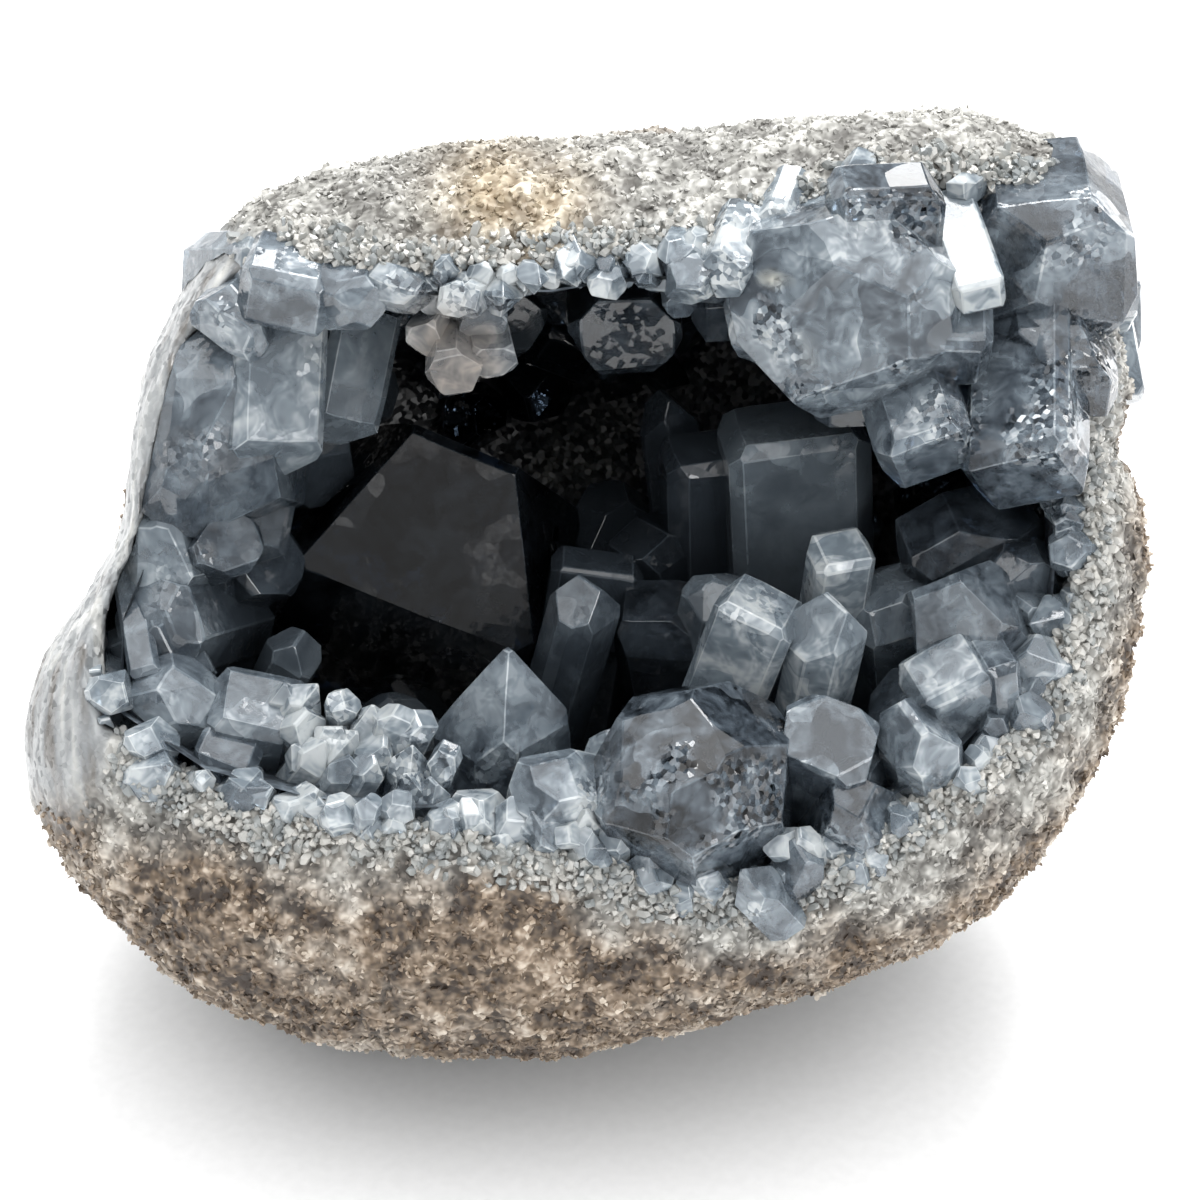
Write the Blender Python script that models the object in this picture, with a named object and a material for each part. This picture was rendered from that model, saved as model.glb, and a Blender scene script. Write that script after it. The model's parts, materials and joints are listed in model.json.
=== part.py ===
"""Celestite geode: a boulder of granular rock whose hollow is lined with large blue-grey crystals.

The geode is laid out in face coordinates, in millimetres. Across runs to the right, up runs up the face, and
out comes towards someone who looks into the hollow from in front and a little above. The face's origin is in
the middle of the boulder. The finished meshes are turned upright and set down on the boulder's flat spot.
"""

import math
import random
from typing import NamedTuple

import bmesh
import bpy
import numpy as np
from mathutils import Matrix, Vector, noise
from mathutils.bvhtree import BVHTree

# Driving dimensions, in millimetres and degrees
MM = 0.001
FACE_TILT = 36.0
SIGHT_DISTANCE = 600.0
FACE_ORIGIN = Vector((2.61, -3.13, 69.8))
DEPTH_BEHIND = 62.0
DEPTH_IN_FRONT = 50.0
BACK_FULLNESS = 2.4
SOFTENING = 45.0
BLURRED_FROM = 0.55
FRONT_FULLNESS = 3.2
BOULDER_CENTRE = Vector((-1.6, 2.4, 0.0))
HOLLOW_CENTRE = Vector((0.0, 13.0, 0.0))
HOLLOW_BOTTOM = Vector((-5.0, 20.0, -48.0))
HOLLOW_FULLNESS = 2.6
LINING_THICKNESS = 4.0
LINING_SET_BACK = 3.5
CRUST_GAP = 0.4
LARGE_ROOT_DEPTH = 3.0
SMALL_ROOT_DEPTH = -1.5
LONGEST_CRYSTAL = 55.0
SHELL_DETAIL = 0.5
CRUST_DETAIL = 0.74
SEED = 4870
GOLDEN_ANGLE = math.pi * (3 - math.sqrt(5))

# The boulder's outline as the face is looked at, anticlockwise from the right: (across, up)
BOULDER_OUTLINE = (
    (85.5, 3), (84.5, 16), (79, 25), (84, 31.5), (82.5, 39), (83, 48), (82, 61), (76, 71), (60, 76.5),
    (42, 76.5), (16, 73.5), (-6, 71.5), (-32, 69.5), (-46, 66), (-57, 60), (-65, 50), (-71.5, 37),
    (-73.5, 24), (-75.5, 10), (-81, 0), (-89, -11), (-91, -22), (-89, -32), (-82.5, -42), (-73, -53),
    (-61, -63), (-42, -69), (-19, -71.5), (3, -69.5), (24, -65.5), (43, -58), (61, -50), (73, -37),
    (79, -24), (83, -11),
)

# The edge where the crystals begin, in the same way
RIM_OUTLINE = (
    (76, 6), (75, 26), (77, 43), (77, 57), (69, 65), (53, 67), (37, 62), (21, 55),
    (6, 54), (-10, 52), (-24, 52), (-36, 51), (-46, 55), (-55, 53), (-63, 46), (-68, 36),
    (-70, 24), (-73, 12), (-78, 0), (-82, -10), (-78, -23), (-61, -31), (-40, -35), (-21, -36),
    (-2, -40), (14, -46), (32, -43), (51, -32), (66, -20), (74, -8),
)

# Shares of the way from the middle of the hollow to its rim at which the wall is drawn
WALL_SHARES = (0.3, 0.55, 0.75, 0.89, 0.97, 1.0)
WALL_SIDES = 32
FLARE_SHARE = 0.1
FLARE_ROOM = 0.4
FLARE_HEIGHT = 3.0
OPEN_END = 95.0


class Form(NamedTuple):
    """How a crystal's end is cut: how much its four corners lose, and where and how steeply its end faces run.

    Corners are a range of shares of the smaller half side. The end faces are those towards -X, +X, -Y and +Y:
    starts are shares of the way from the tip's middle to the side, and slopes are degrees from the flat.
    """

    corners: tuple
    starts: tuple
    slopes: tuple


FORMS = {
    "wedge": Form((0.02, 0.1), (0.02, 0.05, 0.3, 0.4), (52, 50, 66, 60)),
    "block": Form((0.15, 0.45), (0.62, 0.72, 0.66, 0.75), (52, 52, 39, 52)),
    "drum": Form((0.5, 0.75), (0.7, 0.8, 0.72, 0.82), (45, 52, 39, 48)),
    "roof": Form((0.25, 0.6), (0.02, 0.05, 0.36, 0.48), (52, 50, 62, 64)),
    "pyramid": Form((0.2, 0.5), (0.0, 0.03, 0.0, 0.04), (60, 58, 62, 58)),
    "chisel": Form((0.3, 0.6), (0.0, 0.75, 0.5, 0.62), (39, 60, 58, 64)),
}


ALL_FORMS = ("block", "roof", "chisel", "pyramid")
SHARP_FORMS = ("roof", "chisel", "pyramid")


class Crystal(NamedTuple):
    """One crystal: where its tip is seen, its size, the way it points and how its end is cut."""

    across: float
    up: float
    out: float
    width: float
    thickness: float
    lean: float
    towards: float
    roll: float
    form: str


# The large crystals. Lean is the way the crystal points in the face, 0 to the right and 90 up, and towards is
# how far it points out of the face, 90 being straight out.
LARGE_CRYSTALS = (
    # the dark roof-shaped crystal at the back and its neighbours
    Crystal(-22, 24.5, 10, 34, 44, 68, 42, 90, "wedge"),
    Crystal(-2, 14, -14, 15, 12, 150, 48, 10, "chisel"),
    Crystal(10.4, 33, -2, 10, 9, 98, 35, 20, "roof"),
    Crystal(16, 24.5, 8, 12, 12, 92, 35, 10, "block"),
    Crystal(8, 12, 2, 17, 13, 110, 42, 30, "chisel"),
    Crystal(0, 6.4, 10, 15, 8, 80, 32, 5, "block"),
    Crystal(-1.6, 3, 22, 11, 10, 74, 40, 60, "roof"),
    Crystal(12, 0, 15, 20, 15, 100, 46, -15, "chisel"),
    Crystal(-16, 44, -8, 16, 12, 275, 60, 0, "drum"),
    # the upright prism on the right wall and the crystals in front of it
    Crystal(31, 29, 14, 23, 16, 94, 32, 6, "block"),
    Crystal(38.7, 8.8, 33, 10, 9, 85, 45, 20, "block"),
    Crystal(26.4, 0, 36, 13, 11, 70, 40, -10, "block"),
    Crystal(37.6, 0, 39, 13, 12, 80, 42, 45, "roof"),
    Crystal(53, 1.6, 40, 23, 18, 135, 45, 60, "roof"),
    Crystal(56, 14.4, 26, 22, 15, 130, 40, -15, "chisel"),
    Crystal(70.4, 15, 22, 16, 13, 118, 45, 25, "pyramid"),
    Crystal(67, 0, 34, 17, 10, 140, 50, 0, "roof"),
    Crystal(55, -10.4, 42, 14, 11, 118, 50, 0, "block"),
    Crystal(63, -8, 42, 6, 9, 100, 40, 10, "block"),
    Crystal(37, -21.6, 46, 17, 16, 85, 60, 30, "drum"),
    Crystal(50, -18.4, 46, 11, 14, 105, 52, 15, "roof"),
    Crystal(43, -32, 47, 14, 11, 60, 62, 0, "chisel"),
    Crystal(32, -40, 47, 10, 9, 90, 62, 30, "roof"),
    Crystal(42, -40, 44, 12, 8, 60, 60, 10, "roof"),
    # floor of the hollow, towards the front
    Crystal(14.4, -24, 54, 27, 25, 67, 60, 0, "block"),
    Crystal(-15, -8, 37, 20, 17, 91, 35, 42, "pyramid"),
    Crystal(-4.5, -28, 48, 12, 11, 80, 60, 25, "drum"),
    Crystal(3.5, -31, 47, 8, 8, 80, 60, 10, "block"),
    Crystal(1.6, -22, 44, 9, 8, 95, 50, 10, "roof"),
    # the great cluster that hangs over the hollow on the right
    Crystal(41, 43, 51, 35, 30, 270, 70, 0, "drum"),
    Crystal(27, 47, 44, 13, 20, 250, 66, 0, "drum"),
    Crystal(50, 37, 42, 24, 12, 268, 26, 0, "block"),
    Crystal(61, 46, 46, 7, 12, 283, 24, -35, "block"),
    Crystal(71, 50, 38, 24, 26, 268, 64, 8, "drum"),
    Crystal(73, 33, 40, 20, 16, 270, 50, 0, "chisel"),
    Crystal(53, 22, 42, 15, 13, 284, 32, 10, "block"),
    Crystal(68, 18.5, 43, 19, 16, 266, 30, 30, "block"),
    Crystal(49, 70, 32, 15, 10, 100, 70, 0, "chisel"),
    # the six-sided plate and the brownish knobs that hang from the ceiling
    Crystal(4, 42, 20, 18, 14, 272, 58, 0, "drum"),
    Crystal(21, 44, 20, 12, 10, 275, 40, 0, "block"),
    Crystal(-23, 36, 37, 10, 9, 270, 45, 15, "drum"),
    Crystal(-17, 38, 36, 8, 8, 285, 45, 40, "drum"),
    Crystal(-28, 41.5, 36, 8, 8, 240, 42, 0, "drum"),
    Crystal(-19, 44, 37, 9, 8, 280, 45, 20, "drum"),
    Crystal(-25.6, 48, 39, 9, 8, 260, 50, 0, "drum"),
    Crystal(13, 46.7, 36, 6, 5, 276, 40, 0, "drum"),
    Crystal(9, 52, 39, 8, 7, 265, 50, 0, "drum"),
    Crystal(3, 52, 39, 7, 6, 280, 50, 0, "drum"),
    Crystal(18.4, 49.6, 37, 8, 7, 288, 42, 25, "drum"),
    # left wall: upright slabs, each set further in than the one before
    Crystal(-62, 29, 32, 32, 15, 175, 74, 0, "block"),
    Crystal(-50, 39, 32, 38, 15, -8, 60, 6, "block"),
    Crystal(-38, 37, 20, 24, 12, -8, 56, -4, "block"),
    Crystal(-43, 24, 10, 18, 12, 0, 55, 10, "chisel"),
    Crystal(-54, 16, 18, 20, 13, -4, 60, -8, "block"),
    Crystal(-63, 25.6, 28, 12, 11, 88, 40, 10, "drum"),
    Crystal(-71, 9.6, 22, 13, 11, 185, 72, 5, "block"),
    Crystal(-67, 0, 25, 14, 11, 250, 72, 0, "block"),
    Crystal(-59, 9, 26, 10, 12, 20, 60, 0, "drum"),
    Crystal(-52, 6.4, 12, 15, 14, 20, 50, 20, "drum"),
    # lower left lobe
    Crystal(-72, -14, 31, 5, 8, 285, 38, 0, "block"),
    Crystal(-66, -8, 27, 15, 8, 20, 45, 10, "block"),
    Crystal(-67, -14.4, 32, 12, 11, 62, 60, -15, "drum"),
    Crystal(-52, -17, 34, 14, 10, 48, 50, 10, "chisel"),
    Crystal(-59, -23, 37, 10, 9, 70, 55, 0, "block"),
    Crystal(-48, -6, 17, 9, 8, 60, 50, 0, "roof"),
    Crystal(-81, -14, 28, 12, 13, 100, 60, 10, "drum"),
    Crystal(-63, -30, 38, 8, 7, 80, 55, 20, "roof"),
    Crystal(-74, -25, 34, 9, 8, 80, 60, 0, "block"),
)

# Small bright crystals in a bank above the front rim: the bank's two ends and the size of its crystals
BANK_ENDS = (Vector((-50.0, -13.0, 37.0)), Vector((-24.0, -21.0, 43.0)))
BANK_COLUMNS = 6
BANK_ROWS = 3
BANK_ROW_STEP = Vector((0.8, -4.6, 1.8))
BANK_WIDTH = 6.6
BANK_LENGTH = 14.0

# Smaller crystals that fill the wall between the large ones, and those along the rim
FILL_COUNT = 52
FILL_WIDTH = (9.0, 15.0)
FILL_HEIGHT = (5.0, 11.0)
FILL_LEAN = 0.45
FILL_CLEARANCE = 0.42
RIM_COUNT = 58
RIM_WIDTH = (5.0, 9.0)
RIM_LENGTH = 14.0
RIM_HEIGHT = (1.0, 4.5)
RIM_OVERHANG = (1.5, 6.0)
RIM_LEAN = (0.3, 1.0)
RIM_SCATTER = 0.3

# The slant of celestite's prism faces, and the sides that the end faces lean towards
PRISM_ANGLE = 38.0
END_SIDES = ((-1, 0), (1, 0), (0, -1), (0, 1))


def direction_of(lean, towards):
    """The unit vector in face coordinates for a lean and a towards angle in degrees."""
    lean, towards = math.radians(lean), math.radians(towards)
    flat = math.cos(towards)
    return Vector((math.cos(lean) * flat, math.sin(lean) * flat, math.sin(towards)))


def sight_place(across, up, out):
    """The place, out from the face, that lines up with (across, up) for someone looking in."""
    pinch = (SIGHT_DISTANCE - out) / SIGHT_DISTANCE
    return Vector((across * pinch, up * pinch, out))


def upright(place):
    """A place in face coordinates as a place in the world, in metres."""
    tilt = math.radians(FACE_TILT)
    back = place.y * math.sin(tilt) - place.z * math.cos(tilt)
    height = place.y * math.cos(tilt) + place.z * math.sin(tilt)
    return (Vector((place.x, back, height)) + FACE_ORIGIN) * MM


class Outline:
    """A closed outline round a centre, read as a radius for each angle."""

    def __init__(self, points, centre):
        arms = [Vector(point) - centre.xy for point in points]
        self.centre = centre
        self.angles = [math.atan2(arm.y, arm.x) for arm in arms]
        self.radii = [arm.length for arm in arms]

    def radius(self, angle):
        return float(np.interp(angle, self.angles, self.radii, period=2 * math.pi))

    def softened_radius(self, angle):
        """The radius averaged over the outline near the angle, which loses its notches."""
        near = angle + np.radians(np.linspace(-SOFTENING, SOFTENING, 13))
        return float(np.interp(near, self.angles, self.radii, period=2 * math.pi).mean())


BOULDER = Outline(BOULDER_OUTLINE, BOULDER_CENTRE)
RIM = Outline(RIM_OUTLINE, HOLLOW_CENTRE)


def lumps(place):
    """How far the boulder's surface stands out at a place: broad swells, lumps and knobs."""
    swell = 3.4 * noise.noise(place / 42 + Vector((3, 1, 7)))
    lump = 2.6 * noise.noise(place / 19 + Vector((9, 4, 2)))
    knob = 1.3 * noise.noise(place / 8.5 + Vector((5, 8, 6)))
    return swell + lump + knob


def boulder_place(way, inset=0.0):
    """The boulder's surface in a direction from its centre, drawn in by inset."""
    ring = math.hypot(way.x, way.y)
    angle = math.atan2(way.y, way.x)
    fullness, depth = (FRONT_FULLNESS, DEPTH_IN_FRONT) if way.z > 0 else (BACK_FULLNESS, DEPTH_BEHIND)
    reach = (ring**fullness + abs(way.z) ** fullness) ** (-1 / fullness)
    behind = min(1.0, max(0.0, -way.z / BLURRED_FROM))
    side = BOULDER.radius(angle) * (1 - behind) + BOULDER.softened_radius(angle) * behind
    place = Vector((way.x * side, way.y * side, way.z * depth)) * reach
    calm = 0.3 + 0.7 * abs(way.z)
    return BOULDER_CENTRE + place + way * (calm * lumps(place) - inset)


def rim_height(angle):
    """How far out the boulder's surface lies where the hollow breaks through it."""
    mouth = HOLLOW_CENTRE.xy + RIM.radius(angle) * Vector((math.cos(angle), math.sin(angle)))
    arm = mouth - BOULDER_CENTRE.xy
    share = min(0.97, arm.length / BOULDER.radius(math.atan2(arm.y, arm.x)))
    return DEPTH_IN_FRONT * (1 - share**FRONT_FULLNESS) ** (1 / FRONT_FULLNESS)


def flared_radius(angle):
    """The hollow's radius just above the rim, where it opens out without reaching the boulder's edge."""
    inner = RIM.radius(angle)
    way = Vector((math.cos(angle), math.sin(angle)))
    arm = HOLLOW_CENTRE.xy + inner * way - BOULDER_CENTRE.xy
    room = BOULDER.radius(math.atan2(arm.y, arm.x)) - arm.length
    return inner + min(FLARE_SHARE * inner, FLARE_ROOM * max(room, 0.0))


def wall_place(share, angle):
    """The place on the wall at a share of the way from the hollow's middle to its rim."""
    sunk = (1 - share**HOLLOW_FULLNESS) ** (1 / HOLLOW_FULLNESS)
    out = rim_height(angle) + (HOLLOW_BOTTOM.z - rim_height(angle)) * sunk
    centre = HOLLOW_CENTRE.lerp(HOLLOW_BOTTOM, sunk)
    reach = share * RIM.radius(angle)
    return sight_place(centre.x + reach * math.cos(angle), centre.y + reach * math.sin(angle), out)


def hollow_rings():
    """The hollow's rings from its bottom out through the rim, as lists of places."""
    angles = [2 * math.pi * side / WALL_SIDES for side in range(WALL_SIDES)]
    rings = [[wall_place(share, angle) for angle in angles] for share in WALL_SHARES]
    for height in (None, OPEN_END):
        ring = []
        for angle in angles:
            out = rim_height(angle) + FLARE_HEIGHT if height is None else height
            reach = flared_radius(angle)
            ring.append(sight_place(
                HOLLOW_CENTRE.x + reach * math.cos(angle), HOLLOW_CENTRE.y + reach * math.sin(angle), out
            ))
        rings.append(ring)
    return rings


def new_object(name, mesh_builder, material=None):
    """An object whose mesh is drawn in face coordinates and then set upright."""
    drawn = bmesh.new()
    mesh_builder(drawn)
    bmesh.ops.recalc_face_normals(drawn, faces=drawn.faces)
    for vertex in drawn.verts:
        vertex.co = upright(vertex.co)
    mesh = bpy.data.meshes.new(name)
    drawn.to_mesh(mesh)
    drawn.free()
    made = bpy.data.objects.new(name, mesh)
    bpy.context.scene.collection.objects.link(made)
    if material:
        mesh.materials.append(material)
    return made


def draw_boulder(drawn, inset=0.0, detail=5):
    """The whole boulder, before its hollow is cut."""
    bmesh.ops.create_icosphere(drawn, subdivisions=detail, radius=1.0)
    for vertex in drawn.verts:
        vertex.co = boulder_place(vertex.co.normalized(), inset)


def draw_hollow(drawn, inset=0.0):
    """The hollow as a solid, open end outwards, drawn in all round by inset."""
    rings = [[drawn.verts.new(place) for place in ring] for ring in hollow_rings()]
    bottom = drawn.verts.new(HOLLOW_BOTTOM)
    for side in range(WALL_SIDES):
        after = (side + 1) % WALL_SIDES
        drawn.faces.new((bottom, rings[0][after], rings[0][side]))
        for low, high in zip(rings, rings[1:]):
            drawn.faces.new((low[side], low[after], high[after]))
            drawn.faces.new((low[side], high[after], high[side]))
    drawn.faces.new(rings[-1])
    bmesh.ops.recalc_face_normals(drawn, faces=drawn.faces)
    if inset:
        drawn.normal_update()
        moves = [(vertex, vertex.normal * inset) for vertex in drawn.verts]
        for vertex, move in moves:
            vertex.co -= move


def face_cuts(width, thickness, form, chance):
    """The planes that shape a crystal whose tip is at the origin: (normal, distance from the origin)."""
    half_width, half_thickness = width / 2, thickness / 2
    least = min(half_width, half_thickness)
    cuts = []
    for side_x in (-1, 1):
        for side_y in (-1, 1):
            slant = math.radians(PRISM_ANGLE + chance.uniform(-6, 6))
            normal = Vector((side_x * math.cos(slant), side_y * math.sin(slant), 0))
            corner = abs(normal.x) * half_width + abs(normal.y) * half_thickness
            cuts.append((normal, corner - least * chance.uniform(*form.corners)))
    for (side_x, side_y), start, slope in zip(END_SIDES, form.starts, form.slopes):
        slope = math.radians(slope + chance.uniform(-4, 4))
        normal = Vector((side_x * math.sin(slope), side_y * math.sin(slope), math.cos(slope)))
        half = half_width if side_x else half_thickness
        cuts.append((normal, (start + chance.uniform(0, 0.1)) * half * math.sin(slope)))
    return cuts


def draw_crystal(drawn, crystal, chance):
    """One crystal along +Z with its tip at the origin and its root at -length."""
    size = Matrix.Diagonal((crystal.width, crystal.thickness, crystal.length, 1))
    box = Matrix.Translation((0, 0, -crystal.length / 2)) @ size
    bmesh.ops.create_cube(drawn, size=1.0, matrix=box)
    for normal, distance in face_cuts(crystal.width, crystal.thickness, crystal.form, chance):
        everything = drawn.verts[:] + drawn.edges[:] + drawn.faces[:]
        cut = bmesh.ops.bisect_plane(
            drawn, geom=everything, plane_co=normal * distance, plane_no=normal, clear_outer=True
        )
        loop = [part for part in cut["geom_cut"] if isinstance(part, bmesh.types.BMEdge)]
        if loop:
            bmesh.ops.contextual_create(drawn, geom=loop)


def crystal_pose(tip, axis, side, roll):
    """The matrix that sets a crystal's tip in place and points it along axis, its width along side before roll."""
    turned = Matrix((side, axis.cross(side), axis)).transposed().to_4x4()
    return Matrix.Translation(tip) @ turned @ Matrix.Rotation(math.radians(roll), 4, "Z")


class Grown(NamedTuple):
    """A crystal as it stands in the hollow."""

    pose: Matrix
    width: float
    thickness: float
    length: float
    form: Form


class Wall:
    """The hollow's wall, asked where a crystal takes root and which way it faces."""

    def __init__(self):
        drawn = bmesh.new()
        draw_hollow(drawn)
        self.tree = BVHTree.FromBMesh(drawn)
        drawn.free()

    def distance_behind(self, tip, axis):
        """How far behind a crystal's tip the wall is."""
        distance = self.tree.ray_cast(tip, -axis)[3]
        return LONGEST_CRYSTAL / 2 if distance is None else distance

    def nearest(self, place):
        """The nearest place on the wall and the direction from it into the hollow."""
        foot, normal, _, _ = self.tree.find_nearest(place)
        inwards = HOLLOW_CENTRE.lerp(HOLLOW_BOTTOM, 0.3) - foot
        return foot, normal if normal.dot(inwards) > 0 else -normal


def large_crystals(wall):
    """The large crystals of the table, each long enough to reach through the lining."""
    found = []
    for crystal in LARGE_CRYSTALS:
        lean = math.radians(crystal.lean)
        axis = direction_of(crystal.lean, crystal.towards)
        tip = sight_place(crystal.across, crystal.up, crystal.out)
        pose = crystal_pose(tip, axis, Vector((-math.sin(lean), math.cos(lean), 0)), crystal.roll)
        length = min(wall.distance_behind(tip, axis) + LARGE_ROOT_DEPTH, LONGEST_CRYSTAL)
        found.append(Grown(pose, crystal.width, crystal.thickness, length, FORMS[crystal.form]))
    return found


def small_crystal(tip, axis, width, length, forms, chance):
    """A crystal of a form taken by chance, turned by chance."""
    pose = crystal_pose(tip, axis, axis.orthogonal().normalized(), chance.uniform(0, 180))
    return Grown(pose, width, width * chance.uniform(0.7, 1.0), length, FORMS[chance.choice(forms)])


def scatter(chance, spread):
    return Vector([chance.uniform(-spread, spread) for _ in range(3)])


def bank_crystals(wall, chance):
    """The bank of small bright crystals: rows that step down from its top edge."""
    found = []
    for row in range(BANK_ROWS):
        for column in range(BANK_COLUMNS):
            share = (column + 0.5 * (row % 2)) / BANK_COLUMNS
            place = BANK_ENDS[0].lerp(BANK_ENDS[1], share) + row * BANK_ROW_STEP + scatter(chance, 0.9)
            tip = sight_place(*place)
            axis = direction_of(chance.uniform(45, 120), chance.uniform(35, 65))
            length = min(wall.distance_behind(tip, axis) + SMALL_ROOT_DEPTH, BANK_LENGTH)
            width = BANK_WIDTH * chance.uniform(0.8, 1.3)
            found.append(small_crystal(tip, axis, width, length, SHARP_FORMS, chance))
    return found


def fill_crystals(wall, taken, chance):
    """Smaller crystals spread over the wall, each standing about square to it, clear of the large ones."""
    found = []
    for index in range(FILL_COUNT):
        share = 0.18 + 0.8 * math.sqrt((index + 0.5) / FILL_COUNT)
        foot, inwards = wall.nearest(wall_place(share, index * GOLDEN_ANGLE))
        axis = (inwards + scatter(chance, FILL_LEAN)).normalized()
        length = LINING_THICKNESS + chance.uniform(*FILL_HEIGHT)
        width = chance.uniform(*FILL_WIDTH)
        tip = foot + axis * length
        crystal = small_crystal(tip, axis, width, length + SMALL_ROOT_DEPTH, ALL_FORMS, chance)
        if all((tip - other.pose.translation).length > FILL_CLEARANCE * other.width for other in taken):
            found.append(crystal)
    return found


def rim_crystals(chance):
    """Small crystals that stand along the rim, most of them leaning in over the hollow."""
    found = []
    for index in range(RIM_COUNT):
        angle = 2 * math.pi * (index + chance.uniform(-0.3, 0.3)) / RIM_COUNT
        inwards = Vector((-math.cos(angle), -math.sin(angle), 0))
        tip = wall_place(1.0, angle) + inwards * chance.uniform(*RIM_OVERHANG)
        tip.z += chance.uniform(*RIM_HEIGHT)
        axis = inwards * chance.uniform(*RIM_LEAN) + Vector((0, 0, 1)) + scatter(chance, RIM_SCATTER)
        width = chance.uniform(*RIM_WIDTH)
        found.append(small_crystal(tip, axis.normalized(), width, RIM_LENGTH, SHARP_FORMS, chance))
    return found


def all_crystals():
    """Every crystal of the crust."""
    wall = Wall()
    chance = random.Random(SEED)
    large = large_crystals(wall)
    bank = bank_crystals(wall, chance)
    return large + bank + fill_crystals(wall, large, chance) + rim_crystals(chance)


def principled(name, colour, roughness):
    material = bpy.data.materials.new(name)
    material.use_nodes = True
    shader = material.node_tree.nodes["Principled BSDF"]
    shader.inputs["Base Color"].default_value = (*colour, 1.0)
    shader.inputs["Roughness"].default_value = roughness
    shader.inputs["Metallic"].default_value = 0.0
    return material


def helper(made, collection=None):
    """Marks an object as a cutter that isn't part of the geode."""
    made.hide_render = True
    made.display_type = "WIRE"
    if collection:
        bpy.context.scene.collection.objects.unlink(made)
        collection.objects.link(made)
    return made


def boolean(target, operation, other=None, collection=None):
    modifier = target.modifiers.new(operation.lower(), "BOOLEAN")
    modifier.operation = operation
    modifier.solver = "EXACT"
    if collection:
        modifier.operand_type = "COLLECTION"
        modifier.collection = collection
    else:
        modifier.object = other


def thin(target, detail):
    """Keeps a share of the object's triangles, those that its shape needs most."""
    target.modifiers.new("thinned", "DECIMATE").ratio = detail


def fill_sealed_gaps(made):
    """Bakes the object's modifiers and keeps only its largest surface, so gaps sealed in between crystals fill."""
    bpy.context.view_layer.update()
    graph = bpy.context.evaluated_depsgraph_get()
    mesh = bpy.data.meshes.new_from_object(made.evaluated_get(graph))
    made.modifiers.clear()
    shape = bmesh.new()
    shape.from_mesh(mesh)
    waiting = set(shape.verts)
    surfaces = []
    while waiting:
        surface = [waiting.pop()]
        for vertex in surface:
            near = {edge.other_vert(vertex) for edge in vertex.link_edges} & waiting
            waiting -= near
            surface.extend(near)
        surfaces.append(surface)
    surfaces.sort(key=len)
    for surface in surfaces[:-1]:
        bmesh.ops.delete(shape, geom=surface, context="VERTS")
    shape.to_mesh(mesh)
    shape.free()
    made.data = mesh


def make_floor():
    """A block whose top is the plane that the geode rests on."""
    drawn = bmesh.new()
    bmesh.ops.create_cube(drawn, size=0.4, matrix=Matrix.Translation((0, 0, -0.2)))
    mesh = bpy.data.meshes.new("resting_plane")
    drawn.to_mesh(mesh)
    drawn.free()
    made = bpy.data.objects.new("resting_plane", mesh)
    bpy.context.scene.collection.objects.link(made)
    return helper(made)


def make_shell(hollow, floor):
    granular_rock = principled("granular_rock", (0.47, 0.41, 0.35), 0.85)
    shell = new_object("rock_shell", draw_boulder, granular_rock)
    thin(shell, SHELL_DETAIL)
    boolean(shell, "DIFFERENCE", hollow)
    boolean(shell, "DIFFERENCE", floor)


def make_crystal_shapes():
    """Each crystal as a helper of its own, in one collection."""
    chance = random.Random(SEED + 1)
    shapes = bpy.data.collections.new("crystal_shapes")
    bpy.context.scene.collection.children.link(shapes)
    shapes.hide_render = True
    for index, crystal in enumerate(all_crystals()):

        def draw(drawn):
            draw_crystal(drawn, crystal, chance)
            bmesh.ops.transform(drawn, matrix=crystal.pose, verts=drawn.verts)

        helper(new_object(f"crystal_{index}", draw), shapes)
    return shapes


def make_crust():
    """The lining of the hollow and every crystal, joined into one solid that clears the shell by the gap."""
    clearing = helper(new_object("hollow_less_gap", lambda drawn: draw_hollow(drawn, CRUST_GAP)))
    swollen = helper(new_object("swollen_shell", lambda drawn: draw_boulder(drawn, -CRUST_GAP)))
    boolean(swollen, "DIFFERENCE", clearing)
    inside = helper(new_object("hollow_less_lining", lambda drawn: draw_hollow(drawn, LINING_THICKNESS)))
    celestite = principled("celestite", (0.30, 0.36, 0.41), 0.15)
    crust = new_object("crystal_crust", lambda drawn: draw_boulder(drawn, LINING_SET_BACK, 4), celestite)
    boolean(crust, "DIFFERENCE", inside)
    boolean(crust, "UNION", collection=make_crystal_shapes())
    boolean(crust, "DIFFERENCE", swollen)
    fill_sealed_gaps(crust)
    thin(crust, CRUST_DETAIL)


def main():
    for old in list(bpy.data.objects):
        bpy.data.objects.remove(old)
    hollow = helper(new_object("hollow", draw_hollow))
    make_shell(hollow, make_floor())
    make_crust()


main()
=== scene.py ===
"""Celestite geode: the looks of a hollow boulder lined with large blue-grey crystals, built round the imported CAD.

The geode is laid out in face coordinates, in millimetres. Across runs to the right, up runs up the face, and
out comes towards someone who looks into the hollow. Finished meshes are turned upright, in metres.
"""

import json
import math
import random
from typing import NamedTuple

import bmesh
import bpy
import numpy as np
from bpy.props import FloatProperty, FloatVectorProperty, IntProperty, PointerProperty
from mathutils import Matrix, Vector
from mathutils.bvhtree import BVHTree

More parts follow.
